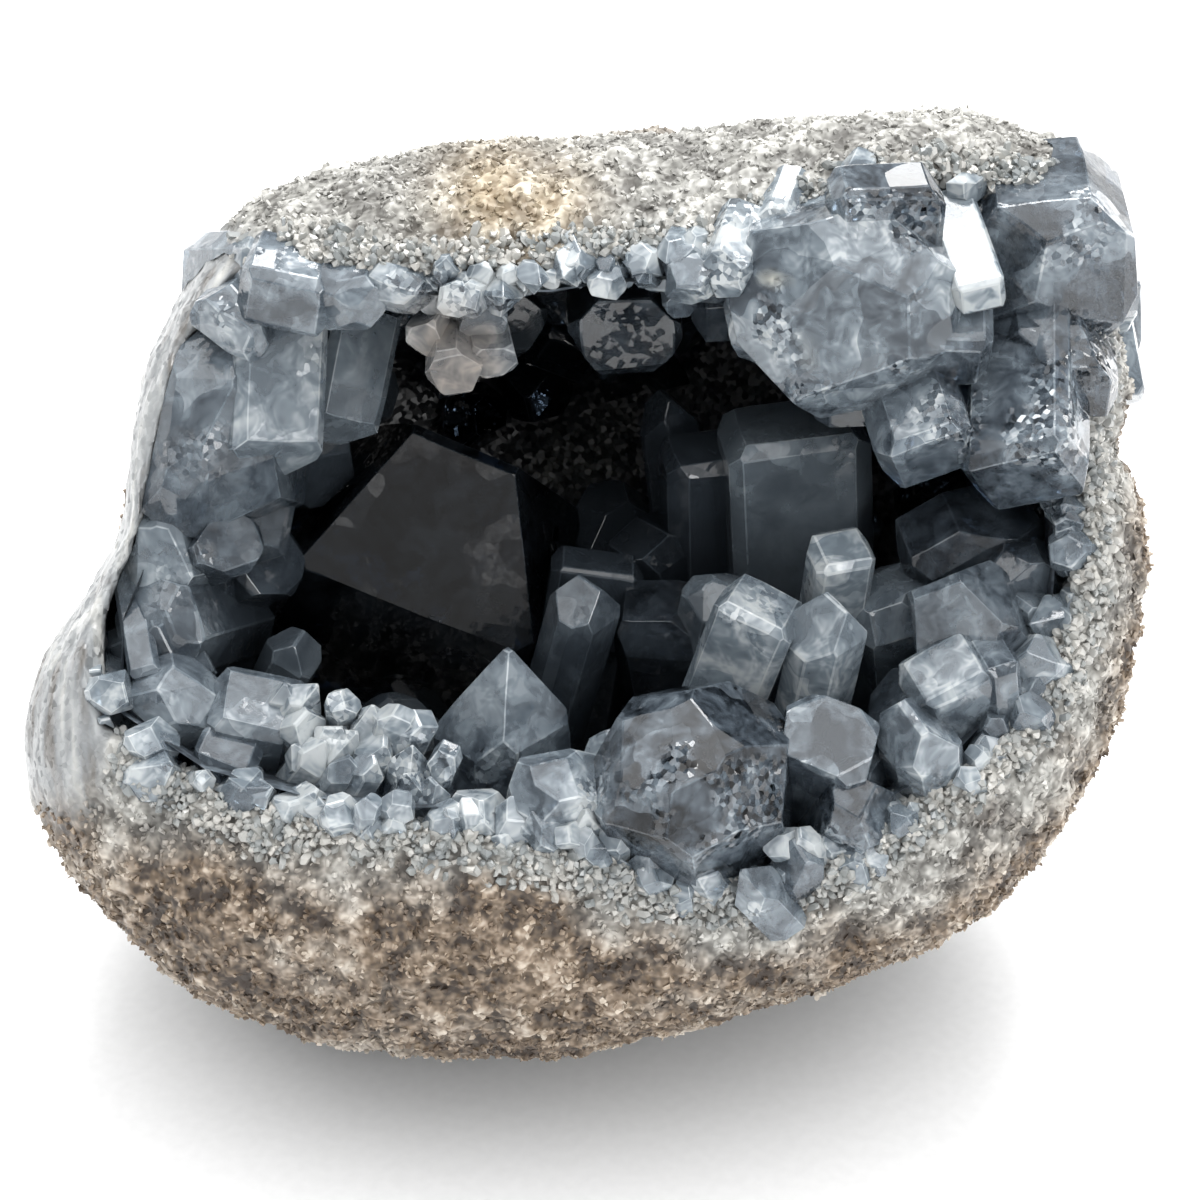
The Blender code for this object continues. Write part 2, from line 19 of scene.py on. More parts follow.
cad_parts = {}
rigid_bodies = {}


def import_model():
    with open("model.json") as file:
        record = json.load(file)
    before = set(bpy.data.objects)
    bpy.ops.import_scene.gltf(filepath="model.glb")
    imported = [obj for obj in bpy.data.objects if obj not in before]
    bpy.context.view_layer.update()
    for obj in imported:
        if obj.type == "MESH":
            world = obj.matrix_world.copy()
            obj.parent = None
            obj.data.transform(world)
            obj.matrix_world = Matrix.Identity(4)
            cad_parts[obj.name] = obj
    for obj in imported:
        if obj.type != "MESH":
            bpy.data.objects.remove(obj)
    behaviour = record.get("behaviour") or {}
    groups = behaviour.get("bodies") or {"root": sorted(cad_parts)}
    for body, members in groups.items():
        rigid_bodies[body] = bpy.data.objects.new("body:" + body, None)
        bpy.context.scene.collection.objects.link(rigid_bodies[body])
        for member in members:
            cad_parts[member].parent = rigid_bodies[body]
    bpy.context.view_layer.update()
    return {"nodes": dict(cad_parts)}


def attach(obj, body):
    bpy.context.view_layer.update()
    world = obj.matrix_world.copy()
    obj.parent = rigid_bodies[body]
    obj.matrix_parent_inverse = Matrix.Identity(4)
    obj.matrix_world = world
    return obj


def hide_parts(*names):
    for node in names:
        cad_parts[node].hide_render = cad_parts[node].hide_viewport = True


bl_info = {
    "name": "Celestite geode",
    "version": (1, 0, 0),
    "blender": (4, 5, 0),
    "location": "3D View > Sidebar > Geode",
    "description": "Dresses the packed geode with granular rock, sugary grains and glassy crystals",
    "category": "Object",
}

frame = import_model()
ROCK_NODE = frame["nodes"]["rock_shell"]

# The face's layout, as in the part's source, in millimetres and degrees
MM = 0.001
FACE_TILT = math.radians(36.0)
SIGHT_DISTANCE = 600.0
FACE_ORIGIN = Vector((2.61, -3.13, 69.8))
DEPTH_IN_FRONT = 50.0
FRONT_FULLNESS = 3.2
BOULDER_CENTRE = Vector((-1.6, 2.4, 0.0))
HOLLOW_CENTRE = Vector((0.0, 13.0, 0.0))
HOLLOW_BOTTOM = Vector((-5.0, 20.0, -48.0))
HOLLOW_FULLNESS = 2.6
LINING_THICKNESS = 4.0
LINING_SINK = 1.2
LARGE_ROOT_DEPTH = 3.0
SMALL_ROOT_DEPTH = -1.5
LONGEST_CRYSTAL = 55.0
SEED = 4870
GOLDEN_ANGLE = math.pi * (3 - math.sqrt(5))
PHOTO_WIDTH = 192.0
SENSOR_WIDTH = 36.0

# The boulder's outline as the face is looked at, anticlockwise from the right: (across, up)
BOULDER_OUTLINE = (
    (85.5, 3), (84.5, 16), (79, 25), (84, 31.5), (82.5, 39), (83, 48), (82, 61), (76, 71), (60, 76.5),
    (42, 76.5), (16, 73.5), (-6, 71.5), (-32, 69.5), (-46, 66), (-57, 60), (-65, 50), (-71.5, 37),
    (-73.5, 24), (-75.5, 10), (-81, 0), (-89, -11), (-91, -22), (-89, -32), (-82.5, -42), (-73, -53),
    (-61, -63), (-42, -69), (-19, -71.5), (3, -69.5), (24, -65.5), (43, -58), (61, -50), (73, -37),
    (79, -24), (83, -11),
)

# The edge where the crystals begin, in the same way
RIM_OUTLINE = (
    (76, 6), (75, 26), (77, 43), (77, 57), (69, 65), (53, 67), (37, 62), (21, 55),
    (6, 54), (-10, 52), (-24, 52), (-36, 51), (-46, 55), (-55, 53), (-63, 46), (-68, 36),
    (-70, 24), (-73, 12), (-78, 0), (-82, -10), (-78, -23), (-61, -31), (-40, -35), (-21, -36),
    (-2, -40), (14, -46), (32, -43), (51, -32), (66, -20), (74, -8),
)
WALL_SHARES = (0.3, 0.55, 0.75, 0.89, 0.97, 1.0)
WALL_SIDES = 32


class Form(NamedTuple):
    """How a crystal's end is cut: what its four corners lose, and where and how steeply its end faces run."""

    corners: tuple
    starts: tuple
    slopes: tuple


FORMS = {
    "wedge": Form((0.02, 0.1), (0.02, 0.05, 0.3, 0.4), (52, 50, 66, 60)),
    "block": Form((0.15, 0.45), (0.62, 0.72, 0.66, 0.75), (52, 52, 39, 52)),
    "drum": Form((0.5, 0.75), (0.7, 0.8, 0.72, 0.82), (45, 52, 39, 48)),
    "roof": Form((0.25, 0.6), (0.02, 0.05, 0.36, 0.48), (52, 50, 62, 64)),
    "pyramid": Form((0.2, 0.5), (0.0, 0.03, 0.0, 0.04), (60, 58, 62, 58)),
    "chisel": Form((0.3, 0.6), (0.0, 0.75, 0.5, 0.62), (39, 60, 58, 64)),
    "broken": Form((0.3, 0.6), (0.3, 0.5, 0.35, 0.5), (30, 42, 36, 46)),
}
ALL_FORMS = ("block", "roof", "chisel", "pyramid")
SHARP_FORMS = ("roof", "chisel", "pyramid")
PRISM_ANGLE = 38.0
END_SIDES = ((-1, 0), (1, 0), (0, -1), (0, 1))


class Crystal(NamedTuple):
    """One crystal: where its tip is seen, its size, the way it points and how its end is cut."""

    across: float
    up: float
    out: float
    width: float
    thickness: float
    lean: float
    towards: float
    roll: float
    form: str
    longest: float = LONGEST_CRYSTAL


# The large crystals of the part's source. Lean is the way a crystal points in the face, 0 to the right and 90
# up, and towards is how far it points out of the face, 90 being straight out.
LARGE_CRYSTALS = (
    # the dark roof-shaped crystal at the back and its neighbours
    Crystal(-22, 24.5, 10, 34, 44, 68, 42, 90, "wedge"),
    Crystal(-2, 14, -14, 15, 12, 150, 48, 10, "chisel"),
    Crystal(10.4, 33, -2, 10, 9, 98, 35, 20, "roof"),
    Crystal(16, 24.5, 8, 12, 12, 92, 35, 10, "block"),
    Crystal(8, 12, 2, 17, 13, 110, 42, 30, "chisel"),
    Crystal(0, 6.4, 10, 15, 8, 80, 32, 5, "block"),
    Crystal(-1.6, 3, 22, 11, 10, 74, 40, 60, "roof"),
    Crystal(12, 0, 15, 20, 15, 100, 46, -15, "chisel"),
    Crystal(-16, 44, -8, 16, 12, 275, 60, 0, "drum"),
    # the upright prism on the right wall and the crystals in front of it
    Crystal(31, 29, 14, 23, 16, 94, 32, 6, "block"),
    Crystal(38.7, 8.8, 33, 10, 9, 85, 45, 20, "block"),
    Crystal(26.4, 0, 36, 13, 11, 70, 40, -10, "block"),
    Crystal(37.6, 0, 39, 13, 12, 80, 42, 45, "roof"),
    Crystal(53, 1.6, 40, 23, 18, 135, 45, 60, "roof"),
    Crystal(56, 14.4, 26, 22, 15, 130, 40, -15, "chisel"),
    Crystal(70.4, 15, 22, 16, 13, 118, 45, 25, "pyramid"),
    Crystal(67, 0, 34, 17, 10, 140, 50, 0, "roof"),
    Crystal(55, -10.4, 42, 14, 11, 118, 50, 0, "block"),
    Crystal(63, -8, 42, 6, 9, 100, 40, 10, "block"),
    Crystal(37, -21.6, 46, 17, 16, 85, 60, 30, "drum"),
    Crystal(50, -18.4, 46, 11, 14, 105, 52, 15, "roof"),
    Crystal(43, -32, 47, 14, 11, 60, 62, 0, "chisel"),
    Crystal(32, -40, 47, 10, 9, 90, 62, 30, "roof"),
    Crystal(42, -40, 44, 12, 8, 60, 60, 10, "roof"),
    # floor of the hollow, towards the front
    Crystal(14, -22, 54, 32, 28, 100, 60, 20, "broken"),
    Crystal(-15, -8, 37, 20, 17, 91, 35, 42, "pyramid"),
    Crystal(-5.5, -28, 49, 16, 14, 80, 60, 25, "broken"),
    Crystal(3.5, -31, 47, 8, 8, 80, 60, 10, "block"),
    Crystal(1.6, -22, 44, 9, 8, 95, 50, 10, "roof"),
    # the great cluster that hangs over the hollow on the right
    Crystal(41, 43, 52, 36, 31, 265, 66, 20, "broken"),
    Crystal(27, 47, 44, 13, 20, 250, 66, 0, "drum"),
    Crystal(54, 37, 43, 16, 12, 268, 30, 0, "block", 30),
    Crystal(61, 48, 49, 8, 6, 283, 43, 0, "block", 22),
    Crystal(46, 68, 50, 17, 9, 88, 38, 8, "block", 42),
    Crystal(73, 48, 42, 26, 27, 268, 60, 8, "broken", 30),
    Crystal(73, 33, 40, 20, 16, 270, 50, 0, "chisel"),
    Crystal(53, 22, 42, 15, 13, 284, 32, 10, "block"),
    Crystal(68, 18.5, 43, 19, 16, 266, 30, 30, "block"),
    Crystal(49, 70, 32, 15, 10, 100, 70, 0, "chisel"),
    # the six-sided plate and the brownish knobs that hang from the ceiling
    Crystal(4, 42, 20, 18, 14, 272, 58, 0, "drum"),
    Crystal(21, 44, 20, 12, 10, 275, 40, 0, "block"),
    Crystal(-23, 36, 37, 10, 9, 270, 45, 15, "drum"),
    Crystal(-17, 38, 36, 8, 8, 285, 45, 40, "drum"),
    Crystal(-28, 41.5, 36, 8, 8, 240, 42, 0, "drum"),
    Crystal(-19, 44, 37, 9, 8, 280, 45, 20, "drum"),
    Crystal(-25.6, 48, 39, 9, 8, 260, 50, 0, "drum"),
    Crystal(13, 46.7, 36, 6, 5, 276, 40, 0, "drum"),
    Crystal(9, 52, 39, 8, 7, 265, 50, 0, "drum"),
    Crystal(3, 52, 39, 7, 6, 280, 50, 0, "drum"),
    Crystal(18.4, 49.6, 37, 8, 7, 288, 42, 25, "drum"),
    # left wall: upright slabs, each set further in than the one before
    Crystal(-64.5, 30, 33, 38, 21, 175, 76, 0, "broken", 24),
    Crystal(-50, 39, 32, 38, 15, -8, 60, 6, "block", 24),
    Crystal(-38, 37, 20, 24, 12, -8, 56, -4, "block"),
    Crystal(-43, 24, 10, 18, 12, 0, 55, 10, "chisel"),
    Crystal(-54, 16, 18, 20, 13, -4, 60, -8, "block"),
    Crystal(-63, 25.6, 28, 12, 11, 88, 40, 10, "drum"),
    Crystal(-60, 43, 38, 13, 10, 240, 62, 0, "broken", 13),
    Crystal(-51, 47, 42, 14, 10, 258, 55, 0, "block", 16),
    Crystal(-41, 46, 43, 13, 9, 262, 52, 10, "broken", 18),
    Crystal(-32.5, 48, 43, 10, 8, 266, 52, -10, "broken", 16),
    Crystal(-72.5, 8, 27, 19, 13, 185, 72, 5, "broken"),
    Crystal(-72, -5, 28, 17, 14, 200, 72, 0, "broken"),
    Crystal(-59, 9, 26, 10, 12, 20, 60, 0, "drum"),
    Crystal(-52, 6.4, 12, 15, 14, 20, 50, 20, "drum"),
    # crystals that fill the gaps on the right
    Crystal(46, 2, 26, 18, 14, 100, 50, 10, "broken"),
    Crystal(53, -13, 35, 16, 13, 80, 55, 0, "roof"),
    Crystal(40, -22, 38, 15, 12, 95, 55, 0, "broken"),
    Crystal(63, 6, 31, 17, 13, 130, 50, 0, "broken"),
    Crystal(20, 2, 22, 13, 11, 80, 50, 0, "broken"),
    # lower left lobe
    Crystal(-72, -14, 31, 5, 8, 285, 38, 0, "block"),
    Crystal(-66, -8, 27, 15, 8, 20, 45, 10, "block"),
    Crystal(-66, -14.4, 35, 16, 14, 62, 60, -15, "broken"),
    Crystal(-54, -16, 35, 15, 12, 70, 55, 10, "block"),
    Crystal(-59, -23, 37, 10, 9, 70, 55, 0, "block"),
    Crystal(-48, -6, 17, 9, 8, 60, 50, 0, "roof"),
    Crystal(-80, -14, 29, 17, 15, 110, 62, 10, "broken"),
    Crystal(-61, -29, 40, 11, 9, 80, 55, 20, "roof"),
    Crystal(-74, -26, 35, 14, 12, 80, 60, 0, "broken"),
)

# Crystals on the outside of the rock, beyond the rim
SIDE_CRYSTALS = (
    Crystal(83, 31.5, 14, 9, 9, 278, 14, 20, "chisel", 17),
    Crystal(81.5, 43, 20, 9, 8, 282, 20, -10, "block", 14),
    Crystal(82, 37, 6, 8, 9, 270, 5, 40, "roof", 14),
    Crystal(45, 73, 22, 9, 7, 100, 50, 10, "roof", 14),
    Crystal(53, 72, 24, 8, 7, 70, 55, 30, "block", 14),
    Crystal(-29, 69, 14, 7, 6, 95, 50, 10, "roof", 12),
)

# Small bright crystals in a bank above the front rim: its two ends, and the step from row to row
BANK_ENDS = (Vector((-50.0, -13.0, 37.0)), Vector((-24.0, -21.0, 43.0)))
BANK_COLUMNS = 6
BANK_ROWS = 3
BANK_ROW_STEP = Vector((0.8, -4.6, 1.8))
BANK_WIDTH = 6.6
BANK_LENGTH = 14.0

# Smaller crystals that fill the wall between the large ones, and those along the rim
FILL_COUNT = 52
FILL_WIDTH = (9.0, 15.0)
FILL_HEIGHT = (5.0, 11.0)
FILL_LEAN = 0.45
FILL_CLEARANCE = 0.42
RIM_COUNT = 58
RIM_WIDTH = (5.0, 9.0)
RIM_LENGTH = 14.0
RIM_HEIGHT = (1.0, 4.5)
RIM_OVERHANG = (1.5, 6.0)
RIM_LEAN = (0.3, 1.0)
RIM_SCATTER = 0.3

EDGE_COUNT = 120
EDGE_WIDTH = (3.0, 6.0)
EDGE_HEIGHT = (0.3, 2.6)
EDGE_OVERHANG = (0.2, 3.6)

# Between these angles the rim is one smooth slab, without the small crystals
BARE_RIM = (128, 196)

# Large crystals' faces are each a few faces at slight angles, and edges sharper than this are worn
VICINAL_WIDTH = 7.0
VICINAL_TILT = 0.08
SHARPEST_KEPT = 0.8
BROKEN_FACES = 9
RIM_BAND = 13.0


def direction_of(lean, towards):
    """The unit vector in face coordinates for a lean and a towards angle in degrees."""
    lean, towards = math.radians(lean), math.radians(towards)
    flat = math.cos(towards)
    return Vector((math.cos(lean) * flat, math.sin(lean) * flat, math.sin(towards)))


def sight_place(across, up, out):
    """The place, out from the face, that lines up with (across, up) for someone looking in."""
    pinch = (SIGHT_DISTANCE - out) / SIGHT_DISTANCE
    return Vector((across * pinch, up * pinch, out))


def turned(way):
    """A direction in face coordinates as a direction in the world."""
    back = way.y * math.sin(FACE_TILT) - way.z * math.cos(FACE_TILT)
    height = way.y * math.cos(FACE_TILT) + way.z * math.sin(FACE_TILT)
    return Vector((way.x, back, height))


def upright(place):
    """A place in face coordinates as a place in the world, in metres."""
    return (turned(place) + FACE_ORIGIN) * MM


FACE_TO_WORLD = Matrix((turned(Vector((1, 0, 0))), turned(Vector((0, 1, 0))), turned(Vector((0, 0, 1)))))
FACE_TO_WORLD = Matrix.Translation(FACE_ORIGIN * MM) @ FACE_TO_WORLD.transposed().to_4x4() @ Matrix.Scale(MM, 4)


class Outline:
    """A closed outline round a centre, read as a radius for each angle."""

    def __init__(self, points, centre):
        arms = [Vector(point) - centre.xy for point in points]
        self.angles = [math.atan2(arm.y, arm.x) for arm in arms]
        self.radii = [arm.length for arm in arms]

    def radius(self, angle):
        return float(np.interp(angle, self.angles, self.radii, period=2 * math.pi))


BOULDER = Outline(BOULDER_OUTLINE, BOULDER_CENTRE)
RIM = Outline(RIM_OUTLINE, HOLLOW_CENTRE)


def rim_height(angle):
    """How far out the boulder's surface lies where the hollow breaks through it."""
    mouth = HOLLOW_CENTRE.xy + RIM.radius(angle) * Vector((math.cos(angle), math.sin(angle)))
    arm = mouth - BOULDER_CENTRE.xy
    share = min(0.97, arm.length / BOULDER.radius(math.atan2(arm.y, arm.x)))
    return DEPTH_IN_FRONT * (1 - share**FRONT_FULLNESS) ** (1 / FRONT_FULLNESS)


def wall_place(share, angle):
    """The place on the wall at a share of the way from the hollow's middle to its rim."""
    sunk = (1 - share**HOLLOW_FULLNESS) ** (1 / HOLLOW_FULLNESS)
    out = rim_height(angle) + (HOLLOW_BOTTOM.z - rim_height(angle)) * sunk
    centre = HOLLOW_CENTRE.lerp(HOLLOW_BOTTOM, sunk)
    reach = share * RIM.radius(angle)
    return sight_place(centre.x + reach * math.cos(angle), centre.y + reach * math.sin(angle), out)


def hollow_rings():
    """The hollow's rings from its bottom out to the rim, as lists of places."""
    angles = [2 * math.pi * side / WALL_SIDES for side in range(WALL_SIDES)]
    return [[wall_place(share, angle) for angle in angles] for share in WALL_SHARES]


def draw_hollow(drawn, closed, inset=0.0):
    """The hollow's wall, drawn in by inset, with its mouth closed where it has to be a solid."""
    rings = [[drawn.verts.new(place) for place in ring] for ring in hollow_rings()]
    bottom = drawn.verts.new(HOLLOW_BOTTOM)
    for side in range(WALL_SIDES):
        after = (side + 1) % WALL_SIDES
        drawn.faces.new((bottom, rings[0][after], rings[0][side]))
        for low, high in zip(rings, rings[1:]):
            drawn.faces.new((low[side], low[after], high[after]))
            drawn.faces.new((low[side], high[after], high[side]))
    mouth = rings[-1]
    if closed:
        drawn.faces.new(mouth)
    bmesh.ops.recalc_face_normals(drawn, faces=drawn.faces)
    if inset:
        drawn.normal_update()
        moves = [(vertex, vertex.normal * inset) for vertex in drawn.verts]
        for vertex, move in moves:
            vertex.co -= move
    return mouth


class Grown(NamedTuple):
    """A crystal as it stands in the hollow."""

    pose: Matrix
    width: float
    thickness: float
    length: float
    form: Form


class Wall:
    """The hollow's wall, asked where a crystal takes root and which way it faces."""

    def __init__(self):
        drawn = bmesh.new()
        draw_hollow(drawn, closed=False)
        self.tree = BVHTree.FromBMesh(drawn)
        drawn.free()

    def distance_behind(self, tip, axis):
        distance = self.tree.ray_cast(tip, -axis)[3]
        return LONGEST_CRYSTAL / 2 if distance is None else distance

    def nearest(self, place):
        foot, normal, _, _ = self.tree.find_nearest(place)
        inwards = HOLLOW_CENTRE.lerp(HOLLOW_BOTTOM, 0.3) - foot
        return foot, normal if normal.dot(inwards) > 0 else -normal


def crystal_pose(tip, axis, side, roll):
    """The matrix that sets a crystal's tip in place and points it along axis, its width along side before roll."""
    turn = Matrix((side, axis.cross(side), axis)).transposed().to_4x4()
    return Matrix.Translation(tip) @ turn @ Matrix.Rotation(math.radians(roll), 4, "Z")


def large_crystals(wall):
    found = []
    for crystal in LARGE_CRYSTALS:
        lean = math.radians(crystal.lean)
        axis = direction_of(crystal.lean, crystal.towards)
        tip = sight_place(crystal.across, crystal.up, crystal.out)
        pose = crystal_pose(tip, axis, Vector((-math.sin(lean), math.cos(lean), 0)), crystal.roll)
        length = min(wall.distance_behind(tip, axis) + LARGE_ROOT_DEPTH, crystal.longest)
        found.append(Grown(pose, crystal.width, crystal.thickness, length, FORMS[crystal.form]))
    return found


def small_crystal(tip, axis, width, length, forms, chance):
    """A crystal of a form taken by chance, turned by chance."""
    pose = crystal_pose(tip, axis, axis.orthogonal().normalized(), chance.uniform(0, 180))
    return Grown(pose, width, width * chance.uniform(0.7, 1.0), length, FORMS[chance.choice(forms)])


def scatter(chance, spread):
    return Vector([chance.uniform(-spread, spread) for _ in range(3)])


def bank_crystals(wall, chance):
    """The bank of small bright crystals: rows that step down from its top edge."""
    found = []
    for row in range(BANK_ROWS):
        for column in range(BANK_COLUMNS):
            share = (column + 0.5 * (row % 2)) / BANK_COLUMNS
            place = BANK_ENDS[0].lerp(BANK_ENDS[1], share) + row * BANK_ROW_STEP + scatter(chance, 0.9)
            tip = sight_place(*place)
            axis = direction_of(chance.uniform(45, 120), chance.uniform(35, 65))
            length = min(wall.distance_behind(tip, axis) + SMALL_ROOT_DEPTH, BANK_LENGTH)
            width = BANK_WIDTH * chance.uniform(0.8, 1.3)
            found.append(small_crystal(tip, axis, width, length, SHARP_FORMS, chance))
    return found


def fill_crystals(wall, taken, chance):
    """Smaller crystals spread over the wall, each about square to it, clear of the large ones."""
    found = []
    for index in range(FILL_COUNT):
        share = 0.18 + 0.8 * math.sqrt((index + 0.5) / FILL_COUNT)
        foot, inwards = wall.nearest(wall_place(share, index * GOLDEN_ANGLE))
        axis = (inwards + scatter(chance, FILL_LEAN)).normalized()
        length = LINING_THICKNESS + chance.uniform(*FILL_HEIGHT)
        width = chance.uniform(*FILL_WIDTH)
        tip = foot + axis * length
        crystal = small_crystal(tip, axis, width, length + SMALL_ROOT_DEPTH, ALL_FORMS, chance)
        if all((tip - other.pose.translation).length > FILL_CLEARANCE * other.width for other in taken):
            found.append(crystal)
    return found


def rim_crystals(chance):
    """Small crystals that stand along the rim, most of them leaning in over the hollow."""
    found = []
    for index in range(RIM_COUNT):
        angle = 2 * math.pi * (index + chance.uniform(-0.3, 0.3)) / RIM_COUNT
        inwards = Vector((-math.cos(angle), -math.sin(angle), 0))
        tip = wall_place(1.0, angle) + inwards * chance.uniform(*RIM_OVERHANG)
        tip.z += chance.uniform(*RIM_HEIGHT)
        axis = inwards * chance.uniform(*RIM_LEAN) + Vector((0, 0, 1)) + scatter(chance, RIM_SCATTER)
        width = chance.uniform(*RIM_WIDTH)
        crystal = small_crystal(tip, axis.normalized(), width, RIM_LENGTH, SHARP_FORMS, chance)
        if not BARE_RIM[0] < math.degrees(angle) < BARE_RIM[1]:
            found.append(crystal)
    return found


def edge_crystals(chance):
    """Smaller ones between those, which the part leaves out."""
    found = []
    for index in range(EDGE_COUNT):
        angle = 2 * math.pi * (index + chance.uniform(-0.4, 0.4)) / EDGE_COUNT
        inwards = Vector((-math.cos(angle), -math.sin(angle), 0))
        tip = wall_place(1.0, angle) + inwards * chance.uniform(*EDGE_OVERHANG)
        tip.z += chance.uniform(*EDGE_HEIGHT)
        axis = inwards * chance.uniform(*RIM_LEAN) + Vector((0, 0, 1)) + scatter(chance, RIM_SCATTER)
        width = chance.uniform(*EDGE_WIDTH)
        crystal = small_crystal(tip, axis.normalized(), width, RIM_LENGTH, SHARP_FORMS, chance)
        if not BARE_RIM[0] < math.degrees(angle) < BARE_RIM[1]:
            found.append(crystal)
    return found


def all_crystals():
    """Every crystal of the crust, drawn by the same chances as in the part's source, and those of the edge."""
    wall = Wall()
    chance = random.Random(SEED)
    large = large_crystals(wall)
    bank = bank_crystals(wall, chance)
    part = large + bank + fill_crystals(wall, large, chance) + rim_crystals(chance)
    return part + edge_crystals(random.Random(SEED + 8))


def face_cuts(crystal, chance):
    """The planes that shape a crystal whose tip is at the origin: (normal, distance from the origin)."""
    half_width, half_thickness = crystal.width / 2, crystal.thickness / 2
    least = min(half_width, half_thickness)
    cuts = []
    for side_x in (-1, 1):
        for side_y in (-1, 1):
            slant = math.radians(PRISM_ANGLE + chance.uniform(-6, 6))
            normal = Vector((side_x * math.cos(slant), side_y * math.sin(slant), 0))
            corner = abs(normal.x) * half_width + abs(normal.y) * half_thickness
            cuts.append((normal, corner - least * chance.uniform(*crystal.form.corners)))
    for (side_x, side_y), start, slope in zip(END_SIDES, crystal.form.starts, crystal.form.slopes):
        slope = math.radians(slope + chance.uniform(-4, 4))
        normal = Vector((side_x * math.sin(slope), side_y * math.sin(slope), math.cos(slope)))
        half = half_width if side_x else half_thickness
        cuts.append((normal, (start + chance.uniform(0, 0.1)) * half * math.sin(slope)))
    return cuts


def cut_off(drawn, normal, distance, painted_edge_highlight=None):
    """Cuts away what lies beyond a plane and closes the cut with a face, which is marked in the given face layer for
    a painted highlight along the edge.
    """
    everything = drawn.verts[:] + drawn.edges[:] + drawn.faces[:]
    cut = bmesh.ops.bisect_plane(
        drawn, geom=everything, plane_co=normal * distance, plane_no=normal, clear_outer=True
    )
    loop = [part for part in cut["geom_cut"] if isinstance(part, bmesh.types.BMEdge)]
    if not loop:
        return
    closed = bmesh.ops.contextual_create(drawn, geom=loop)
    for face in closed["faces"]:
        if painted_edge_highlight is not None:
            face[painted_edge_highlight] = 1.0


def furthest(drawn, normal):
    """How far the shape reaches in a direction."""
    return max(normal.dot(vertex.co) for vertex in drawn.verts)


def draw_crystal(drawn, crystal, chance, finish, chamfer):
    """One crystal along +Z with its tip at the origin: its faces not quite flat, its edges slightly worn and their
    chamfer faces marked for a painted highlight.
    """
    # A face layer that marks the chamfers, whose colour is painted lighter as a highlight along the edges
    painted_edge_highlight = drawn.faces.layers.float.new("painted_edge_highlight")
    size = Matrix.Diagonal((crystal.width, crystal.thickness, crystal.length, 1))
    box = Matrix.Translation((0, 0, -crystal.length / 2)) @ size
    bmesh.ops.create_cube(drawn, size=1.0, matrix=box)
    main_cuts = face_cuts(crystal, chance)
    for normal, distance in main_cuts:
        cut_off(drawn, normal, distance)
    least = min(crystal.width, crystal.thickness)
    for _ in range(BROKEN_FACES if crystal.form is FORMS["broken"] else 0):
        way = scatter(finish, 1.0)
        way.z = abs(way.z) + 0.15
        way.normalize()
        cut_off(drawn, way, furthest(drawn, way) - finish.uniform(0.04, 0.13) * least)
    for normal, _ in main_cuts + [(Vector((side_x, side_y, 0)), 0) for side_x, side_y in END_SIDES]:
        for _ in range(2 if least > VICINAL_WIDTH else 0):
            tilted = (normal + scatter(finish, VICINAL_TILT)).normalized()
            cut_off(drawn, tilted, furthest(drawn, tilted) - finish.uniform(0.004, 0.02) * least)
    bmesh.ops.dissolve_limit(drawn, angle_limit=math.radians(0.5), verts=drawn.verts, edges=drawn.edges)
    bmesh.ops.recalc_face_normals(drawn, faces=drawn.faces)
    drawn.normal_update()
    edge_cuts = []
    for edge in drawn.edges:
        if len(edge.link_faces) != 2 or edge.calc_length() < 2 * chamfer:
            continue
        first, second = (face.normal for face in edge.link_faces)
        if first.dot(second) > SHARPEST_KEPT:
            continue
        normal = (first + second).normalized()
        middle = (edge.verts[0].co + edge.verts[1].co) / 2
        edge_cuts.append((normal, normal.dot(middle) - chamfer))
    for normal, distance in edge_cuts:
        cut_off(drawn, normal, distance, painted_edge_highlight)


# Node helpers and materials


def linear(hex_colour):
    """An sRGB hex colour as the linear RGBA that Blender's sockets take."""
    channels = [int(hex_colour[start : start + 2], 16) / 255 for start in (1, 3, 5)]
    return (*[c / 12.92 if c <= 0.04045 else ((c + 0.055) / 1.055) ** 2.4 for c in channels], 1.0)


def add_node(tree, kind, inputs=None, **settings):
    """Adds a node. Settings are its own properties, and inputs gives each socket a value or the output to link."""
    node = tree.nodes.new(kind)
    for name, value in settings.items():
        setattr(node, name, value)
    for socket, value in (inputs or {}).items():
        if isinstance(value, bpy.types.NodeSocket):
            tree.links.new(value, node.inputs[socket])
        else:
            node.inputs[socket].default_value = value
    return node


def ramp(tree, factor, *stops):
    """A colour ramp through (position, hex colour) stops."""
    node = add_node(tree, "ShaderNodeValToRGB", {"Fac": factor})
    elements = node.color_ramp.elements
    while len(elements) < len(stops):
        elements.new(1.0)
    for element, (position, colour) in zip(elements, stops):
        element.position = position
        element.color = linear(colour)
    return node.outputs["Color"]


def per_mm(size):
    """The texture scale that makes a pattern's features size millimetres across."""
    return 1000 / size


def blank_material(name):
    material = bpy.data.materials.new(name)
    material.use_nodes = True
    material.node_tree.nodes.clear()
    return material


def broken_normal(tree, place, size, amount, normal=None):
    """A normal that jumps a little from cell to cell, as on the small faces of cleaved crystal."""
    cells = add_node(tree, "ShaderNodeTexVoronoi", {"Vector": place, "Scale": per_mm(size)}).outputs["Color"]
    cells = add_node(tree, "ShaderNodeVectorMath", {0: cells, 1: (0.5, 0.5, 0.5)}, operation="SUBTRACT").outputs[0]
    jump = add_node(tree, "ShaderNodeVectorMath", {0: cells, "Scale": amount}, operation="SCALE").outputs[0]
    normal = normal or add_node(tree, "ShaderNodeNewGeometry").outputs["Normal"]
    tilted = add_node(tree, "ShaderNodeVectorMath", {0: normal, 1: jump}, operation="ADD").outputs[0]
    return add_node(tree, "ShaderNodeVectorMath", {0: tilted}, operation="NORMALIZE").outputs[0], cells


